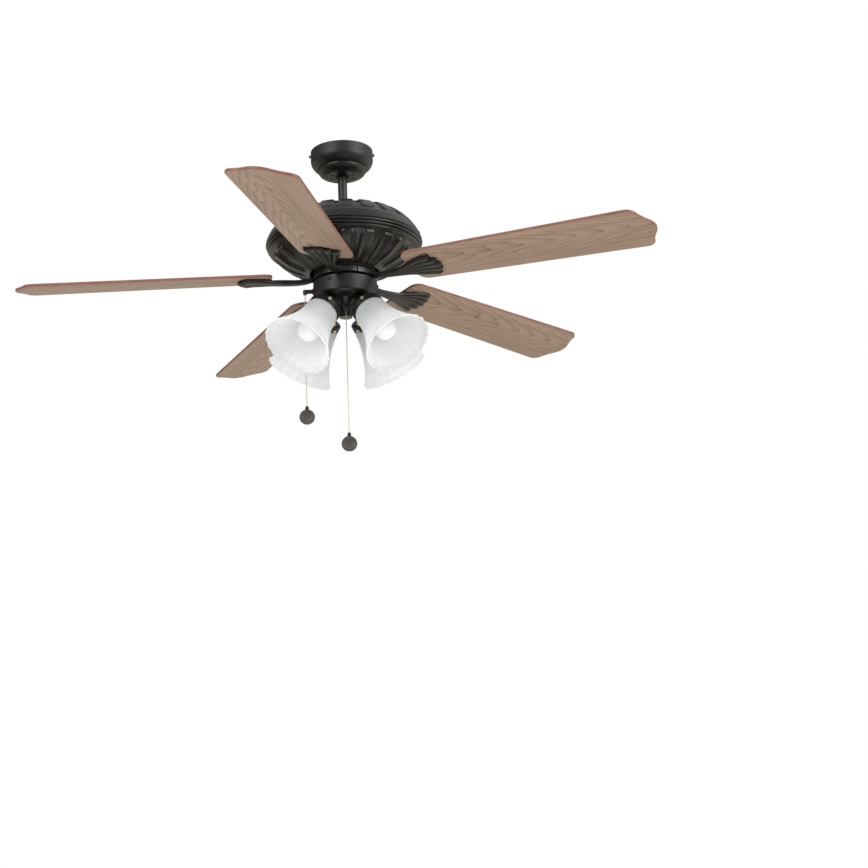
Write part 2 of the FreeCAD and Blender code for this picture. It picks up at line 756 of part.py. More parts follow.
def flute_cutters(edges, low, high, depth, direction):
    """Rounded recesses that follow an outline, repeated round the housing."""
    path = clipped(edges, low - depth, high + depth)
    sides = [path.makeOffset2D(sign, 2, False, True) for sign in (depth, -depth)]
    floor, roof = sorted(sides, key=lambda side: direction * side.BoundBox.Center.z)
    ends = [side.OrderedVertexes for side in (floor, roof)]
    links = [Part.LineSegment(ends[0][end].Point, ends[1][end].Point).toShape() for end in (0, -1)]
    redrawn = [through_middle(edge) for edge in floor.Edges + roof.Edges]
    face = Part.Face(Part.Wire(Part.__sortEdges__(redrawn + links)))
    band = face.revolve(ORIGIN, UP, FULL_TURN)
    cutter = flute_prism(low, high).common(band)
    turns = []
    for azimuth in around(S.flute_count, S.flute_first_azimuth):
        item = cutter.copy()
        item.rotate(ORIGIN, UP, azimuth)
        turns.append(item)
    return Part.makeCompound(turns)


def side_screw_places():
    """Screws square to the dome's skirt, reaching the bowl's spigot."""
    skirt = dome_outline()[-1]
    ends = [point(reach, S.side_screw_drop) for reach in (0, 2 * S.housing_radius)]
    level = Part.LineSegment(*ends).toShape()
    seat = skirt.distToShape(level)[1][0][0]
    normal = seat - skirt.Curve.Center
    turns = turned_about(S.side_screw_count, S.side_screw_azimuth)
    return [turn.multiply(aimed(seat, normal)) for turn in turns]


def side_screw_holes(name):
    """Cutters for the side screws."""
    holes = []
    for index, place in enumerate(side_screw_places()):
        outward = place.Rotation.multVec(UP)
        holes.append(cylinder(f"{name}_side_hole_{index}", place.Base + outward * S.cut_overrun, outward * -1,
                              Radius="screw_radius + fit_gap", Height="side_screw_length + 2 * cut_overrun"))
    return holes


def dome_outline():
    height = S.housing_split_drop - S.dome_top_drop
    steps = share_steps(DOME_SHARES, S.housing_radius, height, S.dome_top_drop)
    return edges_through(point(S.dome_hole_radius, S.dome_top_drop), steps)


def housing_dome():
    """Upper shell: flat round the yoke, falling to the rim, with rounded flutes."""
    edges = dome_outline()
    shell = turned_body("dome_shell", thick_profile(edges, S.dome_wall))
    low, high = (share * S.housing_radius for share in DOME_FLUTE_END_SHARES)
    flutes = feature("dome_flutes", flute_cutters(edges, low, high, S.dome_flute_depth, 1))
    trim = cylinder("dome_trim", point(0, S.housing_split_drop), DOWN, Radius="housing_radius + cut_overrun",
                    Height="cut_overrun")
    tools = [flutes, trim]
    for index, azimuth in enumerate(around(S.dome_screw_count, FULL_TURN / 8)):
        base = polar(S.dome_screw_circle, azimuth, -S.dome_top_drop + S.cut_overrun)
        tools.append(cylinder(f"dome_screw_hole_{index}", base, DOWN, Radius="screw_radius + fit_gap",
                              Height="2 * cut_overrun + dome_wall"))
    node("housing_dome", cut("dome_cut", shell, *tools, *side_screw_holes("dome")))


def spigot_radius():
    """Radius of the bowl's spigot: a clearance inside the dome, at the level of the spigot's top."""
    skirt = dome_outline()[-1].Curve
    rise = skirt.Center.z + S.housing_split_drop - S.spigot_height
    return skirt.Center.x + math.sqrt((skirt.Radius - S.dome_wall) ** 2 - rise ** 2) - S.spigot_clearance


def bowl_outline():
    """Beaded rim and the curve of the bowl down to its mouth."""
    height = S.bowl_bottom_drop - S.housing_split_drop
    start = point(S.housing_radius, S.housing_split_drop)
    steps = []
    for across, down in BEAD_SHARES:
        center = point(across * S.housing_radius, S.housing_split_drop + down * height)
        steps.append([center + Vector(0, 0, S.bead_radius)])
        steps.append([center + Vector(S.bead_radius, 0, 0), center - Vector(0, 0, S.bead_radius)])
    return start, steps, share_steps(BOWL_SHARES, S.housing_radius, height, S.housing_split_drop)


def housing_bowl():
    """Lower shell: beaded rim, fluted bowl, open mouth, and a spigot up inside the dome."""
    start, beads, curve = bowl_outline()
    outline = edges_through(start, beads + curve)
    outer = spigot_radius()
    inner = outer - S.spigot_wall
    rim = beads[-1][-1]
    inner_top = point(inner, S.housing_split_drop)
    smooth = edges_through(rim, curve)
    sides = [Part.Wire(smooth).makeOffset2D(sign * S.bowl_wall, 2, False, True) for sign in (1, -1)]
    inside = max(sides, key=lambda side: side.BoundBox.Center.z)
    ends = sorted((vertex.Point for vertex in inside.OrderedVertexes[::len(inside.Vertexes) - 1]),
                  key=lambda place: place.x)
    mouth = outline[-1].valueAt(outline[-1].LastParameter)
    links = [
        Part.LineSegment(mouth, ends[0]).toShape(),
        Part.LineSegment(ends[1], inner_top).toShape(),
        Part.LineSegment(inner_top, start).toShape(),
    ]
    spigot = closed_profile([
        point(outer, S.housing_split_drop), point(outer, S.housing_split_drop - S.spigot_height),
        point(inner, S.housing_split_drop - S.spigot_height),
        point(inner, S.housing_split_drop + S.spigot_wall),
        point(outer, S.housing_split_drop + S.spigot_wall),
    ])
    shell = turned_body("bowl_shell", outline + inside.Edges + links, spigot)
    high, low = (share * S.housing_radius for share in FLUTE_END_SHARES)
    flutes = feature("bowl_flutes", flute_cutters(smooth, low, high, S.flute_depth, -1))
    node("housing_bowl", cut("bowl_cut", shell, flutes, *side_screw_holes("bowl")))


def housing_screws():
    """Screws down through the dome into the yoke, and in through its skirt."""
    top = screw_shape(S.dome_wall + S.yoke_flange_thickness, S.screw_radius, S.screw_head_radius,
                      S.screw_head_height)
    side = screw_shape(S.side_screw_length, S.screw_radius, S.screw_head_radius, S.screw_head_height)
    places = [aimed(polar(S.dome_screw_circle, azimuth, -S.dome_top_drop), UP)
              for azimuth in around(S.dome_screw_count, FULL_TURN / 8)]
    solids = placed(top, places) + placed(side, side_screw_places())
    node("housing_screws", feature("housing_screw_set", Part.makeCompound(solids)))


def blade_frame():
    """Placement of a blade along +X: pitched about its length and drooping to its tip."""
    tilt = Rotation(Vector(0, 1, 0), S.blade_droop) * Rotation(Vector(1, 0, 0), -S.blade_pitch)
    return Placement(point(0, S.blade_plane_drop), tilt)


def blade_turns():
    return turned_about(S.blade_count, S.blade_first_azimuth)


def blade_screw_points():
    """Three screws through the blade, a triangle over the shell of the iron."""
    far = S.shell_tip_radius - S.blade_screw_radius_step / 2
    near = far - S.blade_screw_radius_step
    return [Vector(near, 0, 0), Vector(far, S.blade_screw_side, 0), Vector(far, -S.blade_screw_side, 0)]


def mirrored(step):
    """The same stretch of an outline on the other side of the blade's middle line."""
    return [Vector(place.x, -place.y, 0) for place in step]


def blade_outline():
    """Blade seen from above: rounded root, widening sides, and an ogee tip."""
    root, half_root, half_tip = S.blade_root_radius, S.blade_root_width / 2, S.blade_tip_width / 2
    bend = S.blade_root_corner
    inset = bend * (1 - math.sqrt(1 / 2))
    corner = Vector(S.blade_tip_radius - S.tip_point, half_tip, 0)
    crest = Vector(corner.x + TIP_CREST_SHARES[0] * S.tip_point, TIP_CREST_SHARES[1] * half_tip, 0)
    slope = (crest - corner).normalize()
    tangent = S.tip_corner * math.tan(slope.getAngle(Vector(1, 0, 0)) / 2)
    enter = corner - Vector(tangent, 0, 0)
    leave = corner + slope * tangent
    center = enter - Vector(0, S.tip_corner, 0)
    turn = center + (corner - center).normalize() * S.tip_corner
    hollow = (leave + crest) / 2 + Vector(slope.y, -slope.x, 0) * S.tip_hollow
    near = Vector(root, half_root - bend, 0)
    bulge = Vector(root + inset, half_root - inset, 0)
    side = Vector(root + bend, half_root, 0)
    low = [mirrored(step) for step in ([hollow, leave], [turn, enter], [side], [bulge, near])]
    return edges_through(near, [
        [bulge, side], [enter], [turn, leave], [hollow, crest],
        [Vector(S.blade_tip_radius, 0, 0)] + mirrored([crest]), *low, [near],
    ])


def blades():
    """Flat boards with an ogee tip, screwed down on the irons."""
    body = new_body("blade_board")
    sketch = sketch_on(body, "XY_Plane", "blade_outline")
    for edge in blade_outline():
        ends = [edge.valueAt(edge.FirstParameter), edge.valueAt(edge.LastParameter)]
        if isinstance(edge.Curve, Part.Line):
            sketch.addGeometry(Part.LineSegment(*ends))
        else:
            middle = edge.valueAt((edge.FirstParameter + edge.LastParameter) / 2)
            sketch.addGeometry(Part.Arc(ends[0], middle, ends[1]))
    for place in blade_screw_points():
        sketch.addGeometry(Part.Circle(place, UP, S.screw_radius + S.fit_gap))
    board = body.newObject("PartDesign::Pad", "blade_pad")
    board.Profile = sketch
    bind(board, Length="blade_thickness")
    labels = [f"blade_{index + 1}" for index in range(int(S.blade_count))]
    tilt = blade_frame()
    copies(body, labels, [turn.multiply(tilt) for turn in blade_turns()])
    screw = screw_shape(S.blade_screw_length, S.screw_radius, S.screw_head_radius, S.screw_head_height)
    seats = [Placement(place + UP * S.blade_thickness, Rotation()) for place in blade_screw_points()]
    places = [turn.multiply(tilt).multiply(seat) for turn in blade_turns() for seat in seats]
    group("blade_screws", screw, places)


def iron_foot():
    """Curved foot under the rotor, one of five that close up into a ring."""
    share = FULL_TURN / S.blade_count - math.degrees(S.foot_gap / S.foot_radius)
    turn = Rotation(UP, -share / 2)
    base = point(0, S.bowl_bottom_drop + S.foot_height)
    outer = cylinder("foot_outer", base, UP, Radius="foot_radius", Height="foot_height")
    outer.Angle = share
    outer.Placement = Placement(base, turn)
    inner = cylinder("foot_inner", base - UP * S.cut_overrun, UP, Radius="foot_inner_radius",
                     Height="foot_height + 2 * cut_overrun")
    holes = []
    for side in (-1, 1):
        place = polar(S.foot_screw_circle, side * S.foot_screw_spread, base.z - S.cut_overrun)
        holes.append(cylinder(f"foot_hole_{side}", place, UP, Radius="screw_radius + fit_gap",
                              Height="foot_height + 2 * cut_overrun"))
    return cut("iron_foot", outer, inner, *holes)


def iron_section(along, sink, turn):
    """Placement of a cross section: its normal along the iron, its Y up, leaning into the blade's pitch."""
    lean = Rotation(Vector(0, 1, 0), S.blade_droop) * Rotation(Vector(1, 0, 0), -S.blade_pitch * turn)
    face = Rotation(Vector(0, 1, 0), Vector(0, 0, 1), Vector(1, 0, 0), "ZXY")
    middle = Vector(along * S.shell_tip_radius, 0, -sink * S.lobe_radius)
    return Placement(point(0, S.blade_plane_drop), lean).multiply(Placement(middle, face))


def iron_neck():
    """Neck that dips from the foot and rises to the shell, wider as the strands spread."""
    sections = []
    for index, (along, sink, turn, wide, tall) in enumerate(NECK_SHARES):
        ring = DOC.addObject("Part::Ellipse", f"neck_section_{index}")
        bind(ring, MajorRadius=f"{wide} * arm_width / 2", MinorRadius=f"{tall} * arm_depth / 2")
        ring.Placement = iron_section(along, sink, turn)
        sections.append(ring)
    return lofted("iron_neck", sections)


def lofted(name, sections):
    loft = DOC.addObject("Part::Loft", name)
    loft.Sections = sections
    loft.Solid = True
    return loft


def iron_strand(index):
    """One raised strand: it follows the neck, swings out with the flare and ends in a round tip."""
    off = index - (S.lobe_count - 1) / 2
    end = 1 - S.lobe_setback * off * off / S.shell_tip_radius
    last = (end, S.lobe_sink / S.lobe_radius, 1.0, 1.0, 1.0)
    stations = [station for station in STRAND_SHARES if station[0] < end] + [last]
    for reach, girth in STRAND_TIP_SHARES:
        stations.append((end + reach * S.lobe_radius / S.shell_tip_radius, *last[1:4], girth))
    sections = []
    for number, (along, sink, turn, spread, girth) in enumerate(stations):
        ring = DOC.addObject("Part::Circle", f"strand_{index}_section_{number}")
        bind(ring, Radius=f"{girth} * lobe_radius")
        shift = Placement(Vector(off * spread * S.shell_pitch, 0, 0), Rotation())
        ring.Placement = iron_section(along, sink, turn).multiply(shift)
        sections.append(ring)
    return lofted(f"strand_{index}", sections)


def blade_irons():
    """Cast irons: foot, neck and scallop shell in one piece, flat where the blade lies."""
    tilt = blade_frame()
    strands = [iron_strand(index) for index in range(int(S.lobe_count))]
    whole = fuse("iron_whole", iron_foot(), iron_neck(), *strands)
    half = S.blade_tip_width / 2
    corner = Vector(S.blade_root_radius - S.cut_overrun, -half, 0)
    flat = box("iron_flat", tilt.multiply(Placement(corner, Rotation())), Length="blade_root_radius",
               Width="blade_tip_width", Height="blade_root_width")
    holes = []
    for index, place in enumerate(blade_screw_points()):
        base = place + UP * S.cut_overrun
        hole = cylinder(f"iron_screw_hole_{index}", base, DOWN, Radius="screw_radius + fit_gap",
                        Height="blade_screw_length - blade_thickness + cut_overrun")
        hole.Placement = tilt.multiply(hole.Placement)
        holes.append(hole)
    iron = cut("iron_cut", whole, flat, *holes)
    labels = [f"blade_iron_{index + 1}" for index in range(int(S.blade_count))]
    copies(iron, labels, blade_turns())
    screw = screw_shape(S.foot_screw_length, S.screw_radius, S.screw_head_radius, S.screw_head_height)
    group("iron_screws", screw, foot_screw_places())


def switch_case():
    """Plate on the shaft's end, the drum that hides the switches, and its three screws."""
    top, wall = S.switch_top_drop, S.switch_wall
    rim = S.switch_radius - wall - S.fit_gap
    hub = S.shaft_radius + S.fit_gap
    plate = turned_body("plate_body", closed_profile([
        point(hub, top), point(rim, top), point(rim, top + S.plate_skirt),
        point(rim - wall, top + S.plate_skirt), point(rim - wall, top + S.plate_thickness),
        point(S.plate_hub_radius, top + S.plate_thickness),
        point(S.plate_hub_radius, top + S.plate_hub_depth), point(hub, top + S.plate_hub_depth),
    ]))
    drum = turned_body("drum_body", closed_profile([
        point(S.switch_radius, top), point(S.switch_radius, S.switch_bottom_drop),
        point(S.switch_radius - wall, S.switch_bottom_drop), point(S.switch_radius - wall, top),
    ]))
    plate_holes, drum_holes, seats = [], [], []
    for index, azimuth in enumerate(around(S.switch_screw_count, S.switch_screw_azimuth)):
        outward = polar(1, azimuth)
        base = outward * (S.switch_radius + S.cut_overrun) - UP * S.switch_screw_drop
        for name, tools in (("plate", plate_holes), ("drum", drum_holes)):
            tools.append(cylinder(f"{name}_screw_hole_{index}", base, outward * -1,
                                  Radius="screw_radius + fit_gap", Height="4 * cut_overrun"))
        seats.append(aimed(outward * S.switch_radius - UP * S.switch_screw_drop, outward))
    node("switch_plate", cut("plate_cut", plate, *plate_holes))
    nipple = Vector(-S.switch_radius - S.cut_overrun, 0, -S.fan_nipple_drop)
    drum_holes.append(cylinder("drum_nipple_hole", nipple, Vector(1, 0, 0), Radius="nipple_radius + fit_gap",
                               Height="4 * cut_overrun"))
    window = Placement(Vector(-S.reverse_plate_width / 2 - S.fit_gap, S.switch_radius - S.capacitor_width,
                              -S.reverse_drop - S.reverse_plate_height / 2 - S.fit_gap), Rotation())
    drum_holes.append(box("drum_reverse_window", window, Length="reverse_plate_width + 2 * fit_gap",
                          Width="2 * capacitor_width", Height="reverse_plate_height + 2 * fit_gap"))
    node("switch_housing", cut("drum_cut", drum, *drum_holes))
    screw = screw_shape(2 * S.switch_wall + S.screw_radius, S.screw_radius, S.screw_head_radius,
                        S.screw_head_height)
    group("switch_housing_screws", screw, seats)
    corner = Vector(S.capacitor_offset - S.capacitor_width / 2, -S.capacitor_length / 2,
                    -top - S.plate_thickness - S.capacitor_height)
    node("capacitor", box("capacitor_can", Placement(corner, Rotation()), Length="capacitor_width",
                          Width="capacitor_length", Height="capacitor_height"))


def light_kit_body():
    """Shallow pan that closes the drum, its tapered hub, and a bored stem for each lamp."""
    top, wall = S.switch_bottom_drop, S.pan_wall
    floor = top + S.pan_depth
    round_edge = S.pan_edge_round
    cone = floor + S.hub_cone_depth
    lip = S.switch_radius - S.switch_wall - S.fit_gap
    bulge = round_edge * (1 - math.sqrt(1 / 2))
    profile = edges_through(point(lip - wall, top - S.pan_lip), [
        [point(lip, top - S.pan_lip)], [point(lip, top)], [point(S.switch_radius, top)],
        [point(S.switch_radius, floor - round_edge)],
        [point(S.switch_radius - bulge, floor - bulge), point(S.switch_radius - round_edge, floor)],
        [point(S.hub_top_radius, floor)], [point(S.hub_radius, cone)],
        [point(S.hub_radius, S.hub_bottom_drop)], [point(0, S.hub_bottom_drop)],
        [point(0, S.hub_bottom_drop - wall)],
        [point(S.hub_radius - wall, S.hub_bottom_drop - wall)], [point(S.hub_radius - wall, cone - wall)],
        [point(S.hub_top_radius - wall, floor - wall)], [point(lip - wall, floor - wall)],
        [point(lip - wall, top - S.pan_lip)],
    ])
    pan = turned_body("pan_body", profile)
    stems, bores = [], []
    for index, frame in enumerate(shade_frames()):
        base = frame.multiply(Placement(Vector(0, 0, -S.cup_depth), Rotation())).Base
        back = frame.Rotation.multVec(DOWN)
        reach = (-floor + wall - base.z) / back.z
        stem = cylinder(f"stem_{index}", base, back, Radius="stem_radius")
        stem.Height = reach
        stems.append(stem)
        bore = cylinder(f"stem_bore_{index}", base - back * S.cut_overrun, back, Radius="shaft_bore_radius")
        bore.Height = reach + 2 * S.cut_overrun
        bores.append(bore)
    nipple = Vector(0, -S.hub_radius - S.cut_overrun, -S.light_nipple_drop)
    bores.append(cylinder("hub_nipple_hole", nipple, Vector(0, 1, 0), Radius="nipple_radius + fit_gap",
                          Height="2 * cut_overrun"))
    node("light_kit_body", cut("light_kit_cut", fuse("light_kit_whole", pan, *stems), *bores))


def shade_frames():
    """Frames at the cups' edges: Z runs out along each lamp, X round the fan, Y up and outward."""
    frames = []
    for azimuth in around(S.shade_count, S.shade_first_azimuth):
        tilt = math.radians(S.shade_tilt)
        outward = polar(1, azimuth)
        axis = outward * math.cos(tilt) - UP * math.sin(tilt)
        side = axis.cross(UP)
        side.normalize()
        base = outward * S.fitter_radial - UP * S.fitter_drop
        frames.append(Placement(base, Rotation(side, axis.cross(side), axis, "ZXY")))
    return frames


def along(radius, depth):
    """Profile point in a lamp's own frame, where depth runs out along its axis."""
    return Vector(radius, 0, depth)


def fitter_cups():
    """Spun cups that hold the glass by three thumb screws each."""
    radius, wall, depth, bend = S.cup_radius, S.cup_wall, S.cup_depth, S.cup_edge_round
    bulge = bend * (1 - math.sqrt(1 / 2))
    outline = edges_through(along(S.shaft_bore_radius, -depth), [
        [along(radius - bend, -depth)],
        [along(radius - bulge, bulge - depth), along(radius, bend - depth)],
        [along(radius, 0)],
    ])
    cup = turned_body("cup_body", thick_profile(outline, wall))
    holes = []
    for index, place in enumerate(thumb_places()):
        base = place.multiply(Placement(Vector(0, 0, S.cut_overrun), Rotation())).Base
        holes.append(cylinder(f"cup_hole_{index}", base, place.Rotation.multVec(DOWN),
                              Radius="thumb_radius + fit_gap", Height="2 * cut_overrun"))
    copies(cut("cup_cut", cup, *holes), lamp_labels("fitter_cup"), shade_frames())
    tip = S.glass_neck_radius + S.fit_gap - S.cup_radius
    top = S.thumb_standoff + S.thumb_head_height
    thumb = Part.Face(Part.makePolygon([
        along(0, tip), along(S.thumb_radius, tip), along(S.thumb_radius, S.thumb_standoff),
        along(S.thumb_head_radius, S.thumb_standoff), along(S.thumb_head_radius, top), along(0, top),
        along(0, tip),
    ])).revolve(ORIGIN, UP, FULL_TURN)
    places = [frame.multiply(place) for frame in shade_frames() for place in thumb_places()]
    group("thumb_screws", thumb, places)


def thumb_places():
    """Thumb screws round a cup, in the lamp's frame, pointing outward."""
    places = []
    for share in THUMB_ANGLE_SHARES:
        outward = polar(1, share * FULL_TURN)
        places.append(aimed(outward * S.cup_radius - UP * S.thumb_back, outward))
    return places


def lamp_labels(name):
    return [f"{name}_{index + 1}" for index in range(int(S.shade_count))]


def lamps():
    """Socket, bulb and glass bell of each lamp."""
    seat = S.cup_wall - S.cup_depth
    rim = seat + S.socket_length
    step = rim - S.socket_bore_depth
    socket = turned_body("socket_body", closed_profile([
        along(0, seat), along(S.socket_radius, seat), along(S.socket_radius, rim),
        along(S.socket_bore_radius, rim), along(S.socket_bore_radius, step), along(0, step),
    ]))
    copies(socket, lamp_labels("lamp_socket"), shade_frames())
    center, radius = S.bulb_center_depth, S.bulb_radius
    meet = math.sqrt(radius ** 2 - (radius * math.sin(math.pi / 3)) ** 2)
    bulb = turned_body("bulb_body", edges_through(along(0, step), [
        [along(S.bulb_base_radius, step)], [along(S.bulb_base_radius, rim)], [along(S.bulb_neck_radius, rim)],
        [along(S.bulb_neck_radius, S.bulb_neck_depth)],
        [along(radius * math.sin(math.pi / 3), center - meet)],
        [along(radius, center), along(0, center + radius)], [along(0, step)],
    ]))
    copies(bulb, lamp_labels("bulb"), shade_frames())
    start = along(S.glass_neck_radius, -S.glass_neck_depth)
    steps = []
    for entry in GLASS_SHARES:
        pairs = zip(entry[0::2], entry[1::2])
        steps.append([along(wide * S.glass_mouth_radius, deep * S.glass_length) for deep, wide in pairs])
    outline = edges_through(start, [[along(S.glass_neck_radius, -S.cup_wall)]] + steps)
    glass = turned_body("glass_body", thick_profile(outline, S.glass_wall))
    copies(glass, lamp_labels("glass_shade"), shade_frames())


def nipple_shape(name, reach):
    """Threaded nipple along +X with a flange, and a mouth at its tip that lets the chain drop."""
    along_x = Vector(1, 0, 0)
    stem = cylinder(name + "_stem", along_x * -S.case_setback, along_x, Radius="nipple_radius",
                    Height=f"case_setback + {reach}")
    flange = cylinder(name + "_flange", ORIGIN, along_x, Radius="nipple_flange_radius",
                      Height="nipple_flange_height")
    tip = Vector(getattr(S, reach), 0, 0)
    ball = bind(DOC.addObject("Part::Sphere", name + "_elbow"), Radius="nipple_radius")
    ball.Placement.Base = tip
    mouth = cylinder(name + "_mouth", tip, DOWN, Radius="mouth_radius", Height="mouth_depth")
    bore = cylinder(name + "_bore", tip - UP * (S.mouth_depth + S.cut_overrun), UP,
                    Radius="chain_radius + chain_gap")
    bore.Height = S.mouth_depth + S.cut_overrun + S.nipple_radius * BORE_END_SHARE
    return [stem, flange, ball, mouth], bore


def pull(name, azimuth, wall_radius, drop, body_side):
    """A pull switch with its nipple, the bead chain's tube and the pendant."""
    turn = Placement(polar(wall_radius, azimuth, -drop), Rotation(UP, azimuth))
    reach, length = name.replace("pull", "nipple_reach"), name.replace("pull", "chain_length")
    solids, bore = nipple_shape(name, reach)
    corner = Vector(-S.case_setback - body_side, -body_side / 2, -S.switch_body_height / 2)
    case = box(name + "_case", Placement(corner, Rotation()), Height="switch_body_height")
    case.Length = body_side
    case.Width = body_side
    switch = cut(name + "_switch_cut", fuse(name + "_switch_whole", case, *solids), bore)
    switch.Placement = turn
    node(name + "_switch", switch)
    tip = turn.multVec(Vector(getattr(S, reach), 0, 0))
    top = tip - UP * (S.mouth_depth - S.chain_hidden)
    chain = cylinder(name + "_chain", top, DOWN, Radius="chain_radius", Height=length)
    node(name + "_chain", chain)
    bottom = top - UP * getattr(S, length)
    neck = cylinder(name + "_neck", bottom, DOWN, Radius="pendant_neck_radius", Height="pendant_neck_height")
    center = bottom - UP * (S.pendant_neck_height + S.pendant_radius * NECK_SEAT_SHARE)
    half = S.pendant_thickness / 2
    disc = cylinder(name + "_disc", center - Vector(0, half, 0), Vector(0, 1, 0), Radius="pendant_radius",
                    Height="pendant_thickness")
    node(name + "_pendant", fuse(name + "_drop", neck, disc))


def reverse_switch():
    """Reversing slide switch in the back of the drum, and its knob."""
    face = S.switch_radius + S.reverse_plate_thickness / 2
    half_wide, half_tall = S.reverse_plate_width / 2, S.reverse_plate_height / 2
    corner = Vector(-half_wide, face - S.reverse_body_depth, -S.reverse_drop - half_tall)
    plate = box("reverse_case", Placement(corner, Rotation()), Length="reverse_plate_width",
                Width="reverse_body_depth", Height="reverse_plate_height")
    slot_depth = S.reverse_body_depth / 2
    slot_corner = Vector(-S.reverse_slot_width / 2, face - slot_depth,
                         -S.reverse_drop - S.reverse_slot_height / 2)
    slot = box("reverse_slot", Placement(slot_corner, Rotation()), Length="reverse_slot_width",
               Width="reverse_body_depth", Height="reverse_slot_height")
    node("reverse_switch", cut("reverse_cut", plate, slot))
    knob_corner = Vector(-S.reverse_knob_width / 2, face - slot_depth + S.chain_gap,
                         -S.reverse_drop - S.reverse_knob_height / 2)
    knob = box("reverse_knob", Placement(knob_corner, Rotation()), Length="reverse_knob_width",
               Height="reverse_knob_height")
    knob.Width = slot_depth - S.chain_gap + S.reverse_knob_reach
    node("reverse_knob", knob)


def build():
    hanger_bracket()
    canopy()
    hanger()
    yoke()
    motor_static()
    motor_rotor()
    housing_dome()
    housing_bowl()
    housing_screws()
    blades()
    blade_irons()
    switch_case()
    light_kit_body()
    fitter_cups()
    lamps()
    pull("fan_pull", S.fan_pull_azimuth, S.switch_radius, S.fan_nipple_drop, S.switch_body_side)
    pull("light_pull", S.light_pull_azimuth, S.hub_radius, S.light_nipple_drop, S.light_body_side)
    reverse_switch()


def check_and_write():
    DOC.recompute()
    for obj in DOC.Objects:
        bad = {"Invalid", "Error"} & set(obj.State)
        if bad:
            raise RuntimeError(f"{obj.Name} is {sorted(bad)}")
    for label, obj in NODES.items():
        shape = obj.Shape
        if shape.isNull() or not shape.isValid() or not shape.Solids:
            raise RuntimeError(f"{label} has no valid solid")
    os.makedirs("parts", exist_ok=True)
    for label, obj in NODES.items():
        obj.Shape.exportStep(os.path.join("parts", label + ".step"))
        print(f"{label}: {len(obj.Shape.Solids)} solid(s), {obj.Shape.Volume:.1f} mm3")


build()
check_and_write()
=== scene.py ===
"""Looks of the ceiling fan: materials, wooden blades, ribbed glass, bead chains, lights and camera.

Everything is in metres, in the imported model's frame: +Z up, origin in the ceiling plane.
"""
import json
import math

import bmesh
import bpy
from mathutils import Matrix, Vector


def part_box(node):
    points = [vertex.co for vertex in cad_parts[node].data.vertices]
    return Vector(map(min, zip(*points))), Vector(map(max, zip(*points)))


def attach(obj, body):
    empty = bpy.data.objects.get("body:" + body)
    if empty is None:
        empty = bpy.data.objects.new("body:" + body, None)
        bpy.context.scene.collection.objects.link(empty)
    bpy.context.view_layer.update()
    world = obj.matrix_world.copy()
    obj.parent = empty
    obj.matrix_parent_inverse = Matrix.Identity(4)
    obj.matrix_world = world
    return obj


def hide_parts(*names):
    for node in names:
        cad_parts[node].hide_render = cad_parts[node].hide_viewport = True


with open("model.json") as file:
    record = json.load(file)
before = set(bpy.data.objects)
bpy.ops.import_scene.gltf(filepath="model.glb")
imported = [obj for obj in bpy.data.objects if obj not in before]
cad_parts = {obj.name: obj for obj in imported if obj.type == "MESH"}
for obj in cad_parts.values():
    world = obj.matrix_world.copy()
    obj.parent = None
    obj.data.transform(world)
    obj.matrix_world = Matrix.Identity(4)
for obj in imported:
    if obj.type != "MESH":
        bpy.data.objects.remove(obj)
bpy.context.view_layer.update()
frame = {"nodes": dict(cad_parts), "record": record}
BLADES = 5
SHADES = 4
PANELS = 20
FIRST_PANEL = math.radians(-87.4)
PANEL_HALF_ANGLE = math.radians(6.25)

# Outlines of the housing, as shares of its radius and of each half's fall, as in the CAD.
# A pair is the end of a straight run, and four numbers are the middle and end of an arc.
# The pairs of BEAD_SHARES are the middles of the three beads under the bowl's rim.
DOME_SHARES = [(0.275, 0.0), (0.525, 0.105, 0.75, 0.245), (0.900, 0.560, 1.0, 1.0)]
BEAD_SHARES = [(0.986, 0.074), (0.972, 0.159), (0.950, 0.240)]
BOWL_SHARES = [(0.938, 0.287), (0.844, 0.529, 0.719, 0.759), (0.594, 0.893, 0.45, 1.0)]
# Outline of the glass, as shares of its length and of its mouth's radius.
GLASS_SHARES = [(0.04, 0.478, 0.10, 0.495), (0.32, 0.540, 0.54, 0.640), (0.79, 0.806, 1.0, 1.0)]


# Materials


class Nodes:
    """A node tree with a few short ways to add and join nodes."""

    def __init__(self, tree):
        self.tree = tree

    def node(self, kind, sockets=None, **settings):
        node = self.tree.nodes.new(kind)
        for key, value in settings.items():
            setattr(node, key, value)
        for key, value in (sockets or {}).items():
            node.inputs[key].default_value = value
        return node

    def link(self, output, target):
        self.tree.links.new(output, target)

    def calc(self, operation, first, second):
        node = self.node("ShaderNodeMath", operation=operation)
        for value, socket in zip((first, second), node.inputs):
            if isinstance(value, float):
                socket.default_value = value
            else:
                self.link(value, socket)
        return node.outputs[0]

    def axes(self, source):
        node = self.node("ShaderNodeSeparateXYZ")
        self.link(source, node.inputs[0])
        return node.outputs

    def between(self, source, start, end, low=0.0, high=1.0):
        """A smooth step from low to high, while the source goes from start to end."""
        sockets = {"From Min": start, "From Max": end, "To Min": low, "To Max": high}
        node = self.node("ShaderNodeMapRange", sockets, interpolation_type="SMOOTHSTEP")
        self.link(source, node.inputs["Value"])
        return node.outputs["Result"]

    def overlay(self, amount, under, over):
        node = self.node("ShaderNodeMixShader")
        self.link(amount, node.inputs["Fac"])
        self.link(under, node.inputs[1])
        self.link(over, node.inputs[2])
        return node.outputs[0]


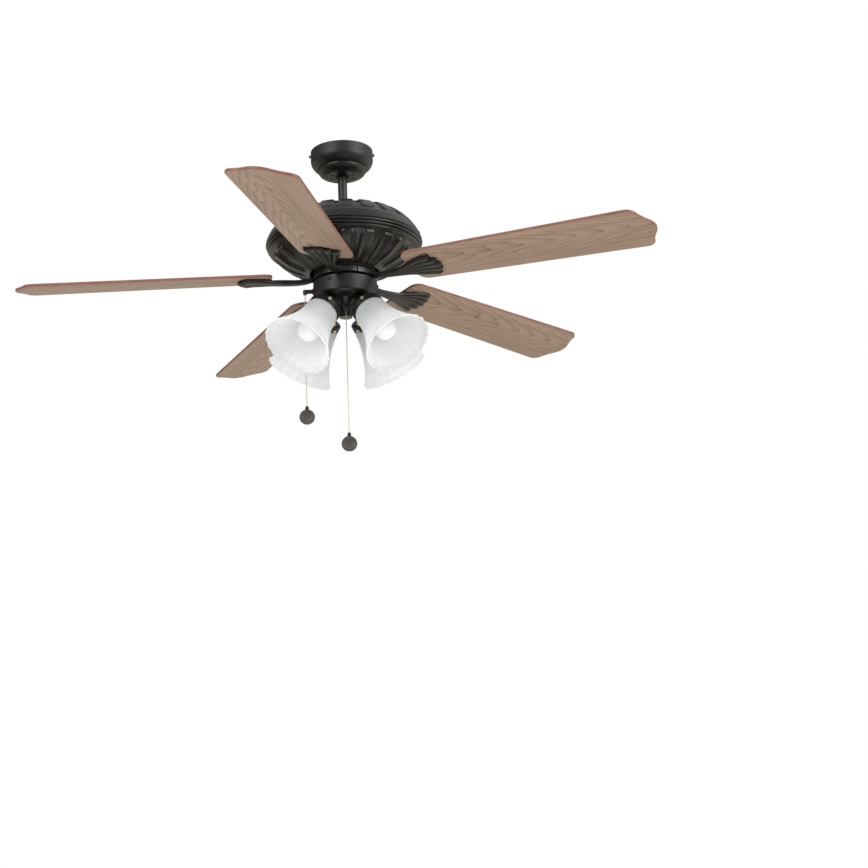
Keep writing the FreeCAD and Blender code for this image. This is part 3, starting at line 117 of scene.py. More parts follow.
class Shader(Nodes):
    """A principled node material, textured by the object's own coordinates."""

    def __init__(self, name):
        self.material = bpy.data.materials.new(name)
        self.material.use_nodes = True
        super().__init__(self.material.node_tree)
        self.bsdf = self.tree.nodes["Principled BSDF"]
        self.coords = self.node("ShaderNodeTexCoord").outputs["Object"]

    def set(self, **values):
        for key, value in values.items():
            self.bsdf.inputs[key.replace("_", " ")].default_value = value

    def mapped(self, source, scale, rotation=(0, 0, 0), location=(0, 0, 0)):
        sockets = {"Scale": scale, "Rotation": rotation, "Location": location}
        node = self.node("ShaderNodeMapping", sockets)
        self.link(source, node.inputs["Vector"])
        return node.outputs["Vector"]

    def noise(self, scale, detail=3.0, roughness=0.5, distortion=0.0, source=None):
        sockets = {"Scale": scale, "Detail": detail, "Roughness": roughness, "Distortion": distortion}
        node = self.node("ShaderNodeTexNoise", sockets)
        self.link(source or self.coords, node.inputs["Vector"])
        return node.outputs["Fac"]

    def ramp(self, source, *stops):
        node = self.node("ShaderNodeValToRGB")
        elements = node.color_ramp.elements
        while len(elements) < len(stops):
            elements.new(0.5)
        for element, (place, color) in zip(elements, stops):
            element.position = place
            element.color = (*color, 1.0)
        self.link(source, node.inputs["Fac"])
        return node.outputs["Color"]

    def levels(self, source, low, high):
        node = self.node("ShaderNodeMapRange", {"To Min": low, "To Max": high})
        self.link(source, node.inputs["Value"])
        return node.outputs["Result"]

    def mix(self, amount, first, second):
        node = self.node("ShaderNodeMix", data_type="RGBA")
        if isinstance(amount, float):
            node.inputs["Factor"].default_value = amount
        else:
            self.link(amount, node.inputs["Factor"])
        self.link(first, node.inputs["A"])
        self.link(second, node.inputs["B"])
        return node.outputs["Result"]

    def bump(self, source, strength, distance):
        node = self.node("ShaderNodeBump", {"Strength": strength, "Distance": distance})
        self.link(source, node.inputs["Height"])
        self.link(node.outputs["Normal"], self.bsdf.inputs["Normal"])

    def paint(self, color, roughness):
        self.link(color, self.bsdf.inputs["Base Color"])
        self.link(roughness, self.bsdf.inputs["Roughness"])
        return self.material


def bronze(name, smoothest, roughest):
    """Dark satin bronze paint with faint brown clouding and a fine orange-peel skin."""
    s = Shader(name)
    cloud = s.noise(14.0, detail=4.0)
    s.set(Specular_IOR_Level=0.5)
    s.bump(s.noise(520.0, detail=2.0), strength=0.06, distance=0.0006)
    tone = s.ramp(cloud, (0.3, (0.0060, 0.0053, 0.0036)), (0.75, (0.0108, 0.0094, 0.0064)))
    return s.paint(tone, s.levels(s.noise(45.0), smoothest, roughest))


def metal(name, dark, light, rough, grain=60.0):
    """Bare metal with fine streaks of tone."""
    s = Shader(name)
    streak = s.noise(grain, detail=5.0)
    s.set(Metallic=1.0)
    s.bump(s.noise(grain * 12, detail=2.0), strength=0.04, distance=0.0004)
    tone = s.ramp(streak, (0.25, dark), (0.8, light))
    return s.paint(tone, s.levels(streak, rough - 0.06, rough + 0.08))


def plastic(name, dark, light, rough):
    """Moulded plastic, or stained wood, with a slight texture."""
    s = Shader(name)
    s.bump(s.noise(800.0, detail=2.0), strength=0.05, distance=0.0004)
    tone = s.ramp(s.noise(25.0), (0.3, dark), (0.8, light))
    return s.paint(tone, s.levels(s.noise(60.0), rough, rough + 0.1))


def wood(name, dark, middle, light, rough):
    """Foil-faced board: long arched growth rings, fine pores and a low sheen, in the board's plan."""
    s = Shader(name)
    chance = s.node("ShaderNodeObjectInfo").outputs["Random"]
    slide = s.node("ShaderNodeCombineXYZ")
    s.link(s.calc("MULTIPLY", chance, 1.7), slide.inputs["X"])
    moved = s.node("ShaderNodeVectorMath", operation="ADD")
    s.link(s.node("ShaderNodeTexCoord").outputs["UV"], moved.inputs[0])
    s.link(slide.outputs[0], moved.inputs[1])
    plan = moved.outputs[0]
    sockets = {"Scale": 120.0, "Distortion": 9.0, "Detail": 2.0, "Detail Scale": 0.30}
    rings = s.node("ShaderNodeTexWave", sockets,
                   wave_type="RINGS", rings_direction="X", wave_profile="SAW")
    lean = (0, math.radians(36.0), math.radians(2.0))
    heart = s.mapped(plan, (0.085, 1, 1), lean, location=(0, 0.012, -0.02))
    s.link(heart, rings.inputs["Vector"])
    pores = s.noise(70.0, detail=5.0, roughness=0.65, distortion=0.25,
                    source=s.mapped(plan, (0.035, 1, 1)))
    broad = s.noise(9.0, source=s.mapped(plan, (0.18, 1, 1)))
    arches = s.ramp(rings.outputs["Fac"], (0.0, light), (0.45, light), (0.8, middle), (0.97, dark))
    streaks = s.ramp(pores, (0.36, dark), (0.5, middle), (0.68, light))
    tone = s.ramp(broad, (0.3, dark), (0.55, middle), (0.8, light))
    s.bump(pores, strength=0.10, distance=0.0005)
    s.set(Specular_IOR_Level=0.35)
    figure = s.mix(0.38, arches, streaks)
    return s.paint(s.mix(0.25, figure, tone), s.levels(pores, rough + 0.1, rough - 0.05))


def frosted():
    """Acid-frosted white glass: bright, a little see-through, softly cloudy, with painted shade
    dimming its lip.
    """
    s = Shader("frosted_white_glass")
    cloud = s.noise(16.0, detail=4.0)
    s.set(Subsurface_Weight=0.9, Subsurface_Radius=(1.0, 1.0, 1.0), Subsurface_Scale=0.06)
    s.set(Specular_IOR_Level=0.3)
    s.bump(s.noise(420.0, detail=2.0), strength=0.05, distance=0.0004)
    # Painted shade: the colour is darkened towards the lip, to dim the bright line that light makes
    # along it.
    lip_shade_mask = s.between(s.axes(s.coords)["Z"], 0.098, 0.112)
    body = s.ramp(cloud, (0.3, (0.880, 0.920, 0.900)), (0.75, (0.935, 0.965, 0.950)))
    rim = s.ramp(cloud, (0.3, (0.700, 0.740, 0.725)), (0.75, (0.750, 0.785, 0.770)))
    return s.paint(s.mix(lip_shade_mask, body, rim), s.levels(s.noise(40.0), 0.42, 0.54))


def opal():
    """Opal lamp glass."""
    s = Shader("opal_bulb")
    tone = s.ramp(s.noise(30.0), (0.3, (0.94, 0.94, 0.95)), (0.8, (0.97, 0.97, 0.98)))
    return s.paint(tone, s.levels(s.noise(50.0), 0.18, 0.28))


def edge_band():
    """Reddish edging on the boards."""
    s = Shader("blade_edge_band")
    streak = s.noise(60.0, detail=4.0, roughness=0.6, source=s.mapped(s.coords, (0.05, 1, 1)))
    tone = s.ramp(streak, (0.3, (0.19, 0.068, 0.046)), (0.75, (0.30, 0.120, 0.083)))
    return s.paint(tone, s.levels(streak, 0.42, 0.55))


BRONZE = bronze("dark_bronze_paint", 0.42, 0.52)
CAST = bronze("bronze_cast_paint", 0.28, 0.38)
BRASS = metal("pale_brass", (0.66, 0.57, 0.38), (0.86, 0.78, 0.58), 0.30, grain=200.0)
OAK = wood("oak_foil", (0.145, 0.087, 0.058), (0.300, 0.196, 0.134), (0.415, 0.288, 0.202), 0.42)
MAHOGANY = wood("mahogany_foil", (0.052, 0.011, 0.009), (0.095, 0.021, 0.016),
                (0.150, 0.038, 0.027), 0.35)
EDGE = edge_band()
GLASS = frosted()
PENDANT = plastic("dark_stained_wood", (0.045, 0.036, 0.032), (0.085, 0.070, 0.064), 0.38)
SLOTS = {
    "dark_bronze": BRONZE,
    "bronze_cast": CAST,
    "zinc_steel": metal("zinc_plate", (0.42, 0.43, 0.44), (0.60, 0.61, 0.62), 0.55),
    "rotor_alloy": metal("cast_alloy", (0.40, 0.40, 0.41), (0.56, 0.56, 0.57), 0.48),
    "lamination": metal("laminations", (0.20, 0.20, 0.21), (0.34, 0.34, 0.35), 0.42, grain=300.0),
    "copper_wire": metal("varnished_copper", (0.34, 0.12, 0.05), (0.58, 0.26, 0.13), 0.35,
                         grain=260.0),
    "black_plastic": plastic("black_moulding", (0.014, 0.014, 0.014), (0.026, 0.026, 0.026), 0.42),
    "brass_parts": BRASS,
    "switch_body": plastic("bronze_moulding", (0.016, 0.015, 0.013), (0.030, 0.027, 0.023), 0.36),
    "dark_wood": PENDANT,
    "oak_blade": OAK,
    "frosted_glass": GLASS,
    "bulb_glass": opal(),
    "socket_plastic": plastic("white_moulding", (0.74, 0.74, 0.72), (0.82, 0.82, 0.80), 0.3),
}
for entry in frame["record"]["subparts"]:
    slots = frame["nodes"][entry["node"]].data.materials
    slots.clear()
    slots.append(SLOTS[entry["material_slot"]])


# Shapes


def add(name, data):
    """Put new data into the scene as an object."""
    obj = bpy.data.objects.new(name, data)
    bpy.context.scene.collection.objects.link(obj)
    return obj


def new_object(name, verts, faces, materials, indices=None, smooth=True):
    mesh = bpy.data.meshes.new(name)
    mesh.from_pydata([tuple(place) for place in verts], [], faces)
    mesh.polygons.foreach_set("use_smooth", [smooth] * len(faces))
    for material in materials:
        mesh.materials.append(material)
    if indices:
        mesh.polygons.foreach_set("material_index", indices)
    mesh.update()
    return add(name, mesh)


def face_outward(obj, weld=None):
    """Turn the faces outward, after joining places closer than weld."""
    mesh = bmesh.new()
    mesh.from_mesh(obj.data)
    if weld:
        bmesh.ops.remove_doubles(mesh, verts=mesh.verts, dist=weld)
    bmesh.ops.recalc_face_normals(mesh, faces=mesh.faces)
    mesh.to_mesh(obj.data)
    mesh.free()


def ring_faces(around, count, closed=True):
    """Quads between profiles of count places that stand round an axis."""
    faces = []
    for step in range(around):
        row, after = step * count, (step + 1) % around * count
        for index in range(count if closed else count - 1):
            along = (index + 1) % count
            faces.append((row + index, after + index, after + along, row + along))
    return faces


def lathe(name, profile, around, materials, matrix):
    """Turn a profile of depth and radius round the Z axis of a frame."""
    verts = []
    for step in range(around):
        angle = math.tau * step / around
        verts += [(wide * math.cos(angle), wide * math.sin(angle), deep) for deep, wide in profile]
    obj = new_object(name, verts, ring_faces(around, len(profile), closed=False), materials)
    face_outward(obj, weld=1e-6)
    obj.matrix_world = matrix
    return obj


def arc_points(start, middle, end, count):
    """Points along the circle through three places, without the first."""
    ax, ay, bx, by, cx, cy = *start, *middle, *end
    d = 2 * (ax * (by - cy) + bx * (cy - ay) + cx * (ay - by))
    squares = (ax * ax + ay * ay, bx * bx + by * by, cx * cx + cy * cy)
    ox = (squares[0] * (by - cy) + squares[1] * (cy - ay) + squares[2] * (ay - by)) / d
    oy = (squares[0] * (cx - bx) + squares[1] * (ax - cx) + squares[2] * (bx - ax)) / d
    radius = math.hypot(ax - ox, ay - oy)
    first, mid, last = (math.atan2(y - oy, x - ox) for x, y in (start, middle, end))
    turn = (last - first) % math.tau
    if (mid - first) % math.tau > turn:
        turn -= math.tau
    angles = [first + turn * step / count for step in range(1, count + 1)]
    return [(ox + radius * math.cos(angle), oy + radius * math.sin(angle)) for angle in angles]


def outline_from(start, steps):
    """Radius and height along straight runs and arcs, finely spaced."""
    run_spacing, arc_spacing, fewest = 0.003, 0.0012, 6
    points = [start]
    for *middle, wide, high in steps:
        last, end = points[-1], (wide, high)
        if middle:
            length = math.dist(last, middle) + math.dist(middle, end)
            points += arc_points(last, middle, end, max(int(length / arc_spacing), fewest))
        else:
            count = max(int(math.dist(last, end) / run_spacing), 1)
            run = [Vector(last).lerp(Vector(end), index / count) for index in range(1, count + 1)]
            points += [tuple(place) for place in run]
    return points


def left_normals(points):
    """Normals of an outline, to its left."""
    normals = []
    for index in range(len(points)):
        before = Vector(points[max(index - 1, 0)])
        after = Vector(points[min(index + 1, len(points) - 1)])
        run = (after - before).normalized()
        normals.append(Vector((-run.y, run.x)))
    return normals


def blade_outline():
    """The board's outline, as in the CAD: rounded root, widening sides, ogee tip."""
    root, tip, half_root, half_tip = 0.150, 0.6619, 0.055, 0.066
    bend, soft, ogee, hollow_depth = 0.022, 0.020, 0.0265, 0.0016
    crest_along, crest_across = 0.774, 0.318
    inset = bend * (1 - math.sqrt(0.5))
    corner = Vector((tip - ogee, half_tip))
    crest = Vector((corner.x + crest_along * ogee, crest_across * half_tip))
    slope = (crest - corner).normalized()
    tangent = soft * math.tan(slope.angle(Vector((1, 0))) / 2)
    enter = corner - Vector((tangent, 0))
    leave = corner + slope * tangent
    center = enter - Vector((0, soft))
    turn = center + (corner - center).normalized() * soft
    hollow = (leave + crest) / 2 + Vector((slope.y, -slope.x)) * hollow_depth
    near = (root, half_root - bend)
    side = (root + bend, half_root)
    points = [near]
    points += arc_points(near, (root + inset, half_root - inset), side, 10)
    points.append(tuple(enter))
    points += arc_points(enter, turn, leave, 8)
    points += arc_points(leave, hollow, crest, 10)
    points += arc_points(crest, (tip, 0.0), (crest.x, -crest.y), 20)[:10]
    return points + [(x, -y) for x, y in reversed(points[:-1])]


def blade_mesh(name, matrix):
    """Board with softened edges: oak below, mahogany above, a reddish band round it."""
    outline = [Vector((x, y)) for x, y in blade_outline()]
    count = len(outline)
    thick, soft = 0.0055, 0.0007
    below, above, band = range(3)
    inner = []
    for index, place in enumerate(outline):
        before = (place - outline[index - 1]).normalized()
        after = (outline[(index + 1) % count] - place).normalized()
        along = (before + after).normalized()
        inner.append(place + Vector((along.y, -along.x)) * soft)
    rows = [(inner, 0.0), (outline, soft), (outline, thick - soft), (inner, thick)]
    plan = [(place.x, place.y, height) for row, height in rows for place in row]
    verts = [matrix @ Vector(place) for place in plan]
    faces, indices = [tuple(reversed(range(count)))], [below]
    for row in range(3):
        low, high = row * count, (row + 1) * count
        for index in range(count):
            after = (index + 1) % count
            faces.append((low + index, low + after, high + after, high + index))
            indices.append(band)
    faces.append(tuple(range(3 * count, 4 * count)))
    indices.append(above)
    obj = new_object(name, verts, faces, [OAK, MAHOGANY, EDGE], indices, smooth=False)
    face_outward(obj)
    grain = obj.data.uv_layers.new(name="grain")
    for loop, cell in zip(obj.data.loops, grain.data):
        cell.uv = plan[loop.vertex_index][:2]
    return obj


def blades():
    first, plane, rise, pitch = -31.0, -0.2771, 3.04, -11.2
    tilt = Matrix.Rotation(math.radians(rise), 4, "Y") @ Matrix.Rotation(math.radians(pitch), 4, "X")
    for index in range(BLADES):
        turn = Matrix.Rotation(math.radians(first + 360 * index / BLADES), 4, "Z")
        place = turn @ Matrix.Translation((0, 0, plane)) @ tilt
        board = blade_mesh(f"blade_board_{index + 1}", place)
        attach(board, "rotor")
        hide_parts(f"blade_{index + 1}")


def ease(share):
    share = min(max(share, 0.0), 1.0)
    return share * share * (3 - 2 * share)


def panel_sink(radius, angle, low, high, depth, dish):
    """How far a place is below the outline: a groove round each panel, its crest, its shallow dish."""
    corner, edge, slope = 0.010, 0.0022, 0.0065
    across = abs(radius * angle) - radius * PANEL_HALF_ANGLE + corner
    along = abs(radius - (low + high) / 2) - (high - low) / 2 + corner
    outside = math.hypot(max(across, 0), max(along, 0)) + min(max(across, along), 0) - corner
    groove = 1 - ease(0.5 - outside / (2 * edge))
    return depth * groove + dish * ease((-outside - edge) / slope)


def fluted_shell(name, node, outline, lining, low, high, depth, dish, fades):
    """A turned casting with rounded panels round it, between grooves that fade at both ends."""
    inner, inner_width, outer, outer_width = fades
    around, pitch, crease = 900, math.tau / PANELS, math.radians(75)
    normals = left_normals(outline)
    verts = []
    for step in range(around):
        angle = math.tau * step / around
        off = (angle - FIRST_PANEL + pitch / 2) % pitch - pitch / 2
        turn = Vector((math.cos(angle), math.sin(angle)))
        for (radius, height), normal in zip(outline, normals):
            fade = ease((radius - inner) / inner_width) * ease((outer - radius) / outer_width)
            depth_here = fade * panel_sink(radius, off, low, high, depth, dish)
            sunk = Vector((radius, height)) - normal * depth_here
            verts.append((*(turn * sunk.x), sunk.y))
        verts += [(*(turn * radius), height) for radius, height in lining]
    faces = ring_faces(around, len(outline) + len(lining))
    shell = new_object(name, verts, faces, [CAST])
    face_outward(shell)
    shell.data.set_sharp_from_angle(angle=crease)
    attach(shell, "hanging_motor")
    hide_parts(node)


def housing():
    """Dome and bowl of the motor housing: raised panels inside the CAD's outlines."""
    radius, top, split, bottom, hub = 0.160, -0.137, -0.203, -0.271, 0.018
    dome_wall, bowl_wall, bead, seat = 0.0045, 0.006, 0.0029, 0.1365

    def scaled(shares, start, end):
        """Steps of an outline that falls from start to end."""
        steps = []
        for step in shares:
            places = zip(step[::2], step[1::2])
            steps.append([value for wide, down in places
                          for value in (wide * radius, start - down * (start - end))])
        return steps

    def fades(*shares):
        return [share * radius for share in shares]

    dome = outline_from((hub, top), scaled(DOME_SHARES, top, split))
    lining = [Vector(place) - normal * dome_wall
              for place, normal in zip(dome, left_normals(dome))]
    lining = [(place.x, max(place.y, split)) for place in lining[::-4]]
    fluted_shell("fluted_dome", "housing_dome", dome, lining, low=0.46 * radius, high=0.925 * radius,
                 depth=0.0032, dish=0.0, fades=fades(0.38, 0.06, 0.952, 0.050))

    steps = []
    for x, y in scaled(BEAD_SHARES, split, bottom):
        steps += [(x, y + bead), (x + bead, y, x, y - bead)]
    rim = len(outline_from((radius, split), steps))
    bowl = outline_from((radius, split), steps + scaled(BOWL_SHARES, split, bottom))
    lining = [Vector(place) - normal * bowl_wall
              for place, normal in zip(bowl, left_normals(bowl))][rim:]
    lining = [tuple(place) for place in lining[::-4]] + [(seat, split)]
    fluted_shell("fluted_bowl", "housing_bowl", bowl, lining, low=0.42 * radius, high=0.905 * radius,
                 depth=0.0044, dish=0.0016, fades=fades(0.47, 0.12, 0.938, 0.022))


def canopy():
    """Drum, stepped lower tier and flat vented foot, slimmer than the solid, as in the photograph."""
    top, drum, foot, hole, wall = -0.0003, 0.0636, -0.0542, 0.0155, 0.0012
    vent_count, vent_radius, vent_circle, vent_middle = 8, 0.0030, 0.0235, -0.0538
    first_vent, crease = 20.0, math.radians(40)
    outer = outline_from((drum, top), [
        (drum, -0.0170),
        (0.0608, -0.0302, 0.0526, -0.0385),
        (0.0511, -0.0391, 0.0497, -0.0394),
        (0.0492, -0.0397, 0.0491, -0.0403),
        (0.0489, -0.0424),
        (0.0460, -0.0484, 0.0382, -0.0525),
        (0.0335, -0.0539, 0.0285, foot),
        (hole, foot),
    ])
    inner = [Vector(place) + normal * wall for place, normal in zip(outer, left_normals(outer))]
    inner = [(max(place.x, hole), min(place.y, top)) for place in inner]
    ring = outer + inner[::-1] + outer[:1]
    shell = lathe("canopy_shell", [(high, wide) for wide, high in ring], 180, [BRONZE], Matrix())
    plugs = bmesh.new()
    for index in range(vent_count):
        turn = Matrix.Rotation(math.radians(first_vent + 360 / vent_count * index), 4, "Z")
        bmesh.ops.create_cone(plugs, cap_ends=True, segments=24, depth=0.01,
                              radius1=vent_radius, radius2=vent_radius,
                              matrix=turn @ Matrix.Translation((vent_circle, 0, vent_middle)))
    data = bpy.data.meshes.new("vents")
    plugs.to_mesh(data)
    plugs.free()
    vents = add("vents", data)
    cut = shell.modifiers.new("vents", "BOOLEAN")
    cut.object = vents
    cut.operation = "DIFFERENCE"
    bpy.context.view_layer.update()
    graph = bpy.context.evaluated_depsgraph_get()
    done = bpy.data.meshes.new_from_object(shell.evaluated_get(graph))
    shell.modifiers.remove(cut)
    shell.data = done
    bpy.data.objects.remove(vents)
    done.set_sharp_from_angle(angle=crease)
    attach(shell, "ceiling_mount")
    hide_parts("canopy")


def shade_matrix(index):
    """The lamp's frame at the cup's edge: Z out along the lamp, Y down and inward."""
    first, tilt, reach, drop = -45.0, math.radians(50.0), 0.0665, 0.3643
    turn = math.radians(first + 360 * index / SHADES)
    away = Vector((math.cos(turn), math.sin(turn), 0))
    axis = away * math.cos(tilt) - Vector((0, 0, math.sin(tilt)))
    side = axis.cross(Vector((0, 0, 1))).normalized()
    matrix = Matrix((side, axis.cross(side), axis)).transposed().to_4x4()
    matrix.translation = away * reach - Vector((0, 0, drop))
    return matrix


def bell_profile():
    """Outside of the glass as depth and radius: neck, slim waist and flared lip."""
    length, mouth, neck = 0.1114, 0.0703, 0.0284
    points = [(-0.010, neck), (-0.006, neck), (-0.0015, neck), (0.0, 0.45 * mouth)]
    for mid_deep, mid_wide, deep, wide in GLASS_SHARES:
        middle, end = (mid_deep * length, mid_wide * mouth), (deep * length, wide * mouth)
        points += arc_points(points[-1], middle, end, 18)
    return points


def bell_ring():
    """The glass's whole section: outside, rounded lip and inside."""
    wall, lip_out, lip_round = 0.003, 0.0006, 0.0002
    outer = bell_profile()
    inner = []
    for index, (deep, wide) in enumerate(outer):
        before, after = outer[max(index - 1, 0)], outer[min(index + 1, len(outer) - 1)]
        run = Vector((after[0] - before[0], after[1] - before[1])).normalized()
        inner.append((deep + run.y * wall, wide - run.x * wall))
    lip_deep, lip_wide = outer[-1]
    back_deep, back_wide = inner[-1]
    lip = [(lip_deep * front + back_deep * back + lip_out, lip_wide * front + back_wide * back + swell)
           for front, back, swell in ((0.7, 0.3, lip_round), (0.3, 0.7, -lip_round))]
    return outer + lip + inner[::-1], lip_deep


def glass():
    """Bells with soft ribs that deepen to a scalloped lip."""
    ribs, around = 24, 288
    rib_height, rib_growth, scallop_depth, scallop_start = 0.0011, 1.6, 0.00054, 0.86
    ring, reach = bell_ring()
    verts = []
    for step in range(around):
        angle = math.tau * step / around
        wave = math.cos(ribs * angle)
        notch = 1 - abs(wave) if wave < 0 else 0
        for deep, wide in ring:
            share = min(max(deep / reach, 0.0), 1.0)
            swell = rib_height * share ** rib_growth
            lip_share = max(share - scallop_start, 0.0) / (1 - scallop_start)
            radius = wide + swell * wave - swell
            height = deep - scallop_depth * lip_share * notch
            verts.append((radius * math.cos(angle), radius * math.sin(angle), height))
    faces = ring_faces(around, len(ring))
    for index in range(SHADES):
        bell = new_object(f"glass_bell_{index + 1}", verts, faces, [GLASS])
        face_outward(bell)
        bell.matrix_world = shade_matrix(index)
        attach(bell, "hanging_motor")
        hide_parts(f"glass_shade_{index + 1}")


def route_points(start, end):
    """Points of a hanging chain's own smooth line."""
    curve = bpy.data.curves.new("chain_route", "CURVE")
    curve.dimensions = "3D"
    spline = curve.splines.new("NURBS")
    spline.points.add(2)
    for point, place in zip(spline.points, (start, (start + end) / 2, end)):
        point.co = (*place, 1.0)
    spline.order_u = 3
    spline.use_endpoint_u = True
    holder = add("chain_route", curve)
    mesh = bpy.data.meshes.new_from_object(holder)
    points = [vertex.co.copy() for vertex in mesh.vertices]
    bpy.data.objects.remove(holder)
    bpy.data.meshes.remove(mesh)
    return points


def chain(name, body, node, pendant_node):
    """Ball chain: beads on a fine link wire, straight down from the nipple's mouth."""
    low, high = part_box(node)
    x, y = (low.x + high.x) / 2, (low.y + high.y) / 2
    start, end = Vector((x, y, high.z)), Vector((x, y, low.z))
    route = route_points(start, end)
    length = (end - start).length
    pitch, bead, wire = 0.0031, 0.0012, 0.00042
    mesh = bmesh.new()
    count = int(length / pitch)
    for index in range(count):
        place = start + (end - start) * ((index + 0.5) / count)
        bmesh.ops.create_uvsphere(mesh, u_segments=10, v_segments=6, radius=bead,
                                  matrix=Matrix.Translation(place))
    bmesh.ops.create_cone(mesh, segments=8, radius1=wire, radius2=wire, depth=length,
                          matrix=Matrix.Translation((start + end) / 2))
    data = bpy.data.meshes.new(name)
    mesh.to_mesh(data)
    mesh.free()
    data.polygons.foreach_set("use_smooth", [True] * len(data.polygons))
    data.materials.append(BRASS)
    obj = add(name, data)
    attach(obj, body)
    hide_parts(node)
    pendant = pendant_disc(name.replace("bead_chain", "pendant_disc"), body, pendant_node)


def pendant_disc(name, body, node):
    """Stained disc with rounded rim and a shallow dished face, under a turned neck."""
    low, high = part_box(node)
    x, y = (low.x + high.x) / 2, (low.y + high.y) / 2
    radius, half, rim_share, rim_steps, neck_start = 0.0155, 0.0035, 0.14, 10, 0.9
    center = Vector((x, y, low.z + radius))
    face = [(0.55, 0.0), (0.6, 0.45), (0.85, 0.66), (1.0, 0.76)]
    profile = [(-half * deep, radius * wide) for deep, wide in face]
    for step in range(1, rim_steps):
        angle = math.pi * step / rim_steps
        wide = radius * (1 - rim_share + rim_share * math.sin(angle))
        profile.append((-half * math.cos(angle), wide))
    profile += [(-deep, wide) for deep, wide in reversed(profile[:len(face)])]
    stand = Matrix.Translation(center) @ Matrix.Rotation(math.radians(90), 4, "X")
    disc = lathe(name, profile, 56, [PENDANT], stand)
    neck_low = center.z + radius * neck_start
    tall = high.z - neck_low
    neck = [(0.0, 0.0), (0.0, 0.0030), (0.18, 0.0038), (0.55, 0.0039), (0.68, 0.0036),
            (0.74, 0.0030), (0.84, 0.0033), (0.94, 0.0030), (1.0, 0.0020), (1.0, 0.0)]
    cap = lathe(name + "_neck", [(tall * share, wide) for share, wide in neck], 24, [BRONZE],
                Matrix.Translation((x, y, neck_low)))
    cap.parent = disc
    cap.matrix_parent_inverse = disc.matrix_world.inverted()
    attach(disc, body)
    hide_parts(node)
    return disc


# Stage, lights and camera


def mirrored_room(sky):
    """Strength and tint of the room that gloss shows.

    In front it is pale above and dim below; behind, pale below and overhead.
    There is a glow on the right, and the light is warmer below.
    """
    axes = sky.axes(sky.node("ShaderNodeTexCoord").outputs["Generated"])
    low_behind = sky.between(axes["Z"], -0.15, 0.2, 0.8, 0.12)
    high_behind = sky.between(axes["Z"], 0.35, 0.85, 0.0, 0.7)
    in_front = sky.between(axes["Z"], -0.1, 0.3, 0.04, 0.55)
    right_glow = sky.between(axes["X"], 0.3, 0.8, 0.0, 0.5)
    depth = sky.node("ShaderNodeMix")
    sky.link(sky.between(axes["Y"], -0.3, 0.5), depth.inputs["Factor"])
    sky.link(in_front, depth.inputs["A"])
    sky.link(sky.calc("ADD", low_behind, high_behind), depth.inputs["B"])
    strength = sky.calc("ADD", depth.outputs["Result"], right_glow)
    warm, cool = (1.0, 0.93, 0.79, 1.0), (0.96, 1.0, 1.0, 1.0)
    tint = sky.node("ShaderNodeMix", {"A": warm, "B": cool}, data_type="RGBA")
    sky.link(sky.between(axes["Z"], -0.4, 0.3), tint.inputs["Factor"])
    return strength, tint.outputs["Result"]


def studio_world():
    """White for the camera, softer white as light, and the mirrored room for gloss."""
    world = bpy.data.worlds.new("studio")
    bpy.context.scene.world = world
    world.use_nodes = True
    world.node_tree.nodes.clear()
    sky = Nodes(world.node_tree)
    white, soft_light = (1, 1, 1, 1), 0.80
    light = sky.node("ShaderNodeBackground", {"Color": white, "Strength": soft_light})
    room = sky.node("ShaderNodeBackground")
    for output, key in zip(mirrored_room(sky), ("Strength", "Color")):
        sky.link(output, room.inputs[key])
    backdrop = sky.node("ShaderNodeBackground", {"Color": white, "Strength": 1.0})
    rays = sky.node("ShaderNodeLightPath").outputs
    seen = sky.calc("MAXIMUM", rays["Is Camera Ray"], rays["Is Transmission Ray"])
    shader = sky.overlay(rays["Is Glossy Ray"], light.outputs[0], room.outputs[0])
    shader = sky.overlay(seen, shader, backdrop.outputs[0])
    sky.link(shader, sky.node("ShaderNodeOutputWorld").inputs["Surface"])


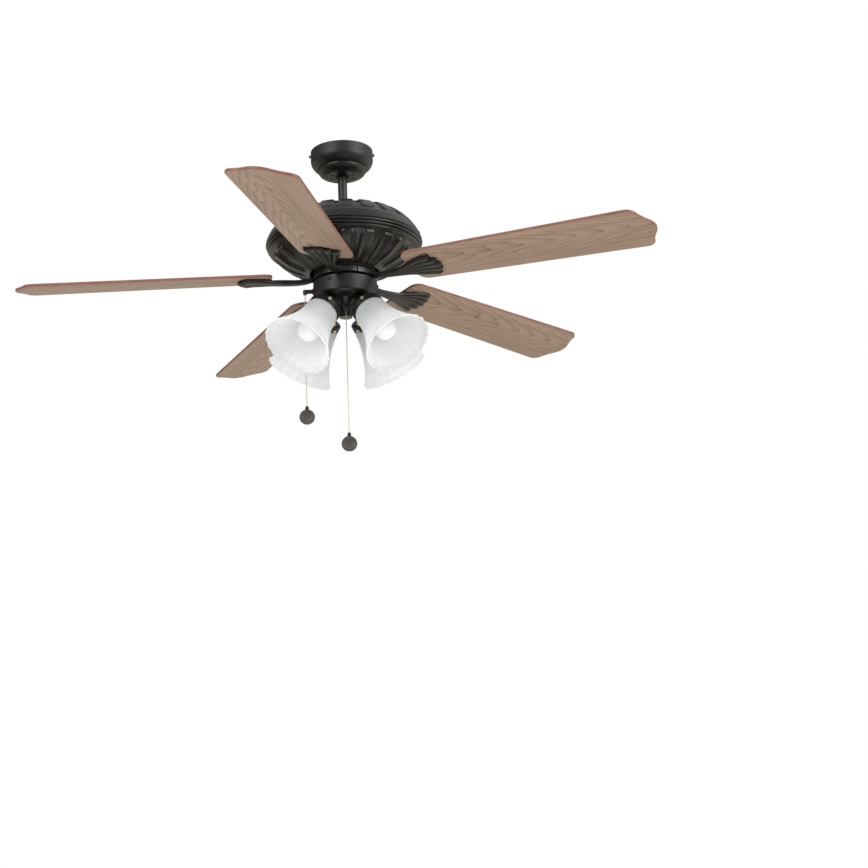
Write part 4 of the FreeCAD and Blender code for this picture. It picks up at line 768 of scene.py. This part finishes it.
def studio_floor():
    """Pale floor well below the fan, fading to white with distance."""
    size, level, fade_start, fade_end = 12.0, -4.0, 2.0, 9.0
    paper = Shader("pale_floor")
    tone = paper.ramp(paper.noise(3.0), (0.3, (0.80, 0.80, 0.80)), (0.8, (0.84, 0.84, 0.84)))
    paper.link(tone, paper.bsdf.inputs["Base Color"])
    paper.set(Roughness=0.85)
    reach = paper.node("ShaderNodeVectorMath", operation="LENGTH")
    paper.link(paper.coords, reach.inputs[0])
    far = paper.between(reach.outputs["Value"], fade_start, fade_end)
    rays = paper.node("ShaderNodeLightPath").outputs
    veil = paper.calc("MULTIPLY", far, rays["Is Camera Ray"])
    white = paper.node("ShaderNodeEmission").outputs[0]
    faded = paper.overlay(veil, paper.bsdf.outputs[0], white)
    paper.link(faded, paper.tree.nodes["Material Output"].inputs["Surface"])
    corners = [(-size, -size, 0), (size, -size, 0), (size, size, 0), (-size, size, 0)]
    floor = new_object("studio_floor", corners, [(0, 1, 2, 3)], [paper.material])
    floor.location.z = level
    floor.visible_glossy = False


def lamp(name, place, target, size, power, mirrored=True):
    """A round soft lamp; an unmirrored one makes no highlight."""
    light = bpy.data.lights.new(name, "AREA")
    light.shape = "DISK"
    light.size = size
    light.energy = power
    obj = add(name, light)
    obj.location = place
    obj.rotation_euler = (Vector(target) - Vector(place)).to_track_quat("-Z", "Y").to_euler()
    obj.visible_glossy = mirrored


def camera():
    """The photograph's view: below the fan, looking up, with its own framing."""
    place, tilt, roll = (-0.0317, -3.026, -1.3441), math.radians(18.696), math.radians(-1.341)
    ahead = Vector((0, math.cos(tilt), math.sin(tilt)))
    up = Vector((0, -math.sin(tilt), math.cos(tilt)))
    right = Vector((1, 0, 0))
    across = right * math.cos(roll) + up * math.sin(roll)
    above = up * math.cos(roll) - right * math.sin(roll)
    data = bpy.data.cameras.new("photo_view")
    data.sensor_width = 36.0
    data.lens = 65.33
    data.shift_x, data.shift_y = 0.120, -0.157
    data.clip_end = 50.0
    obj = add("photo_view", data)
    matrix = Matrix((across, above, -ahead)).transposed().to_4x4()
    matrix.translation = place
    obj.matrix_world = matrix
    bpy.context.scene.camera = obj


camera()
chain("fan_bead_chain", "fan_pull", "fan_pull_chain", "fan_pull_pendant")
chain("light_bead_chain", "light_pull", "light_pull_chain", "light_pull_pendant")
canopy()
housing()
blades()
glass()
studio_world()
studio_floor()
lamp("key", (-2.2, -2.6, 0.9), target=(0, 0, -0.25), size=2.2, power=54)
lamp("fill", (2.6, -1.9, 0.7), target=(0, 0, -0.25), size=2.2, power=58)
lamp("under", (0.2, -1.2, -2.1), target=(0, 0, -0.2), size=1.8, power=12)
lamp("back", (0.5, 2.6, 0.8), target=(0, 0, -0.2), size=2.0, power=22, mirrored=False)
bpy.context.scene.view_settings.view_transform = "Standard"
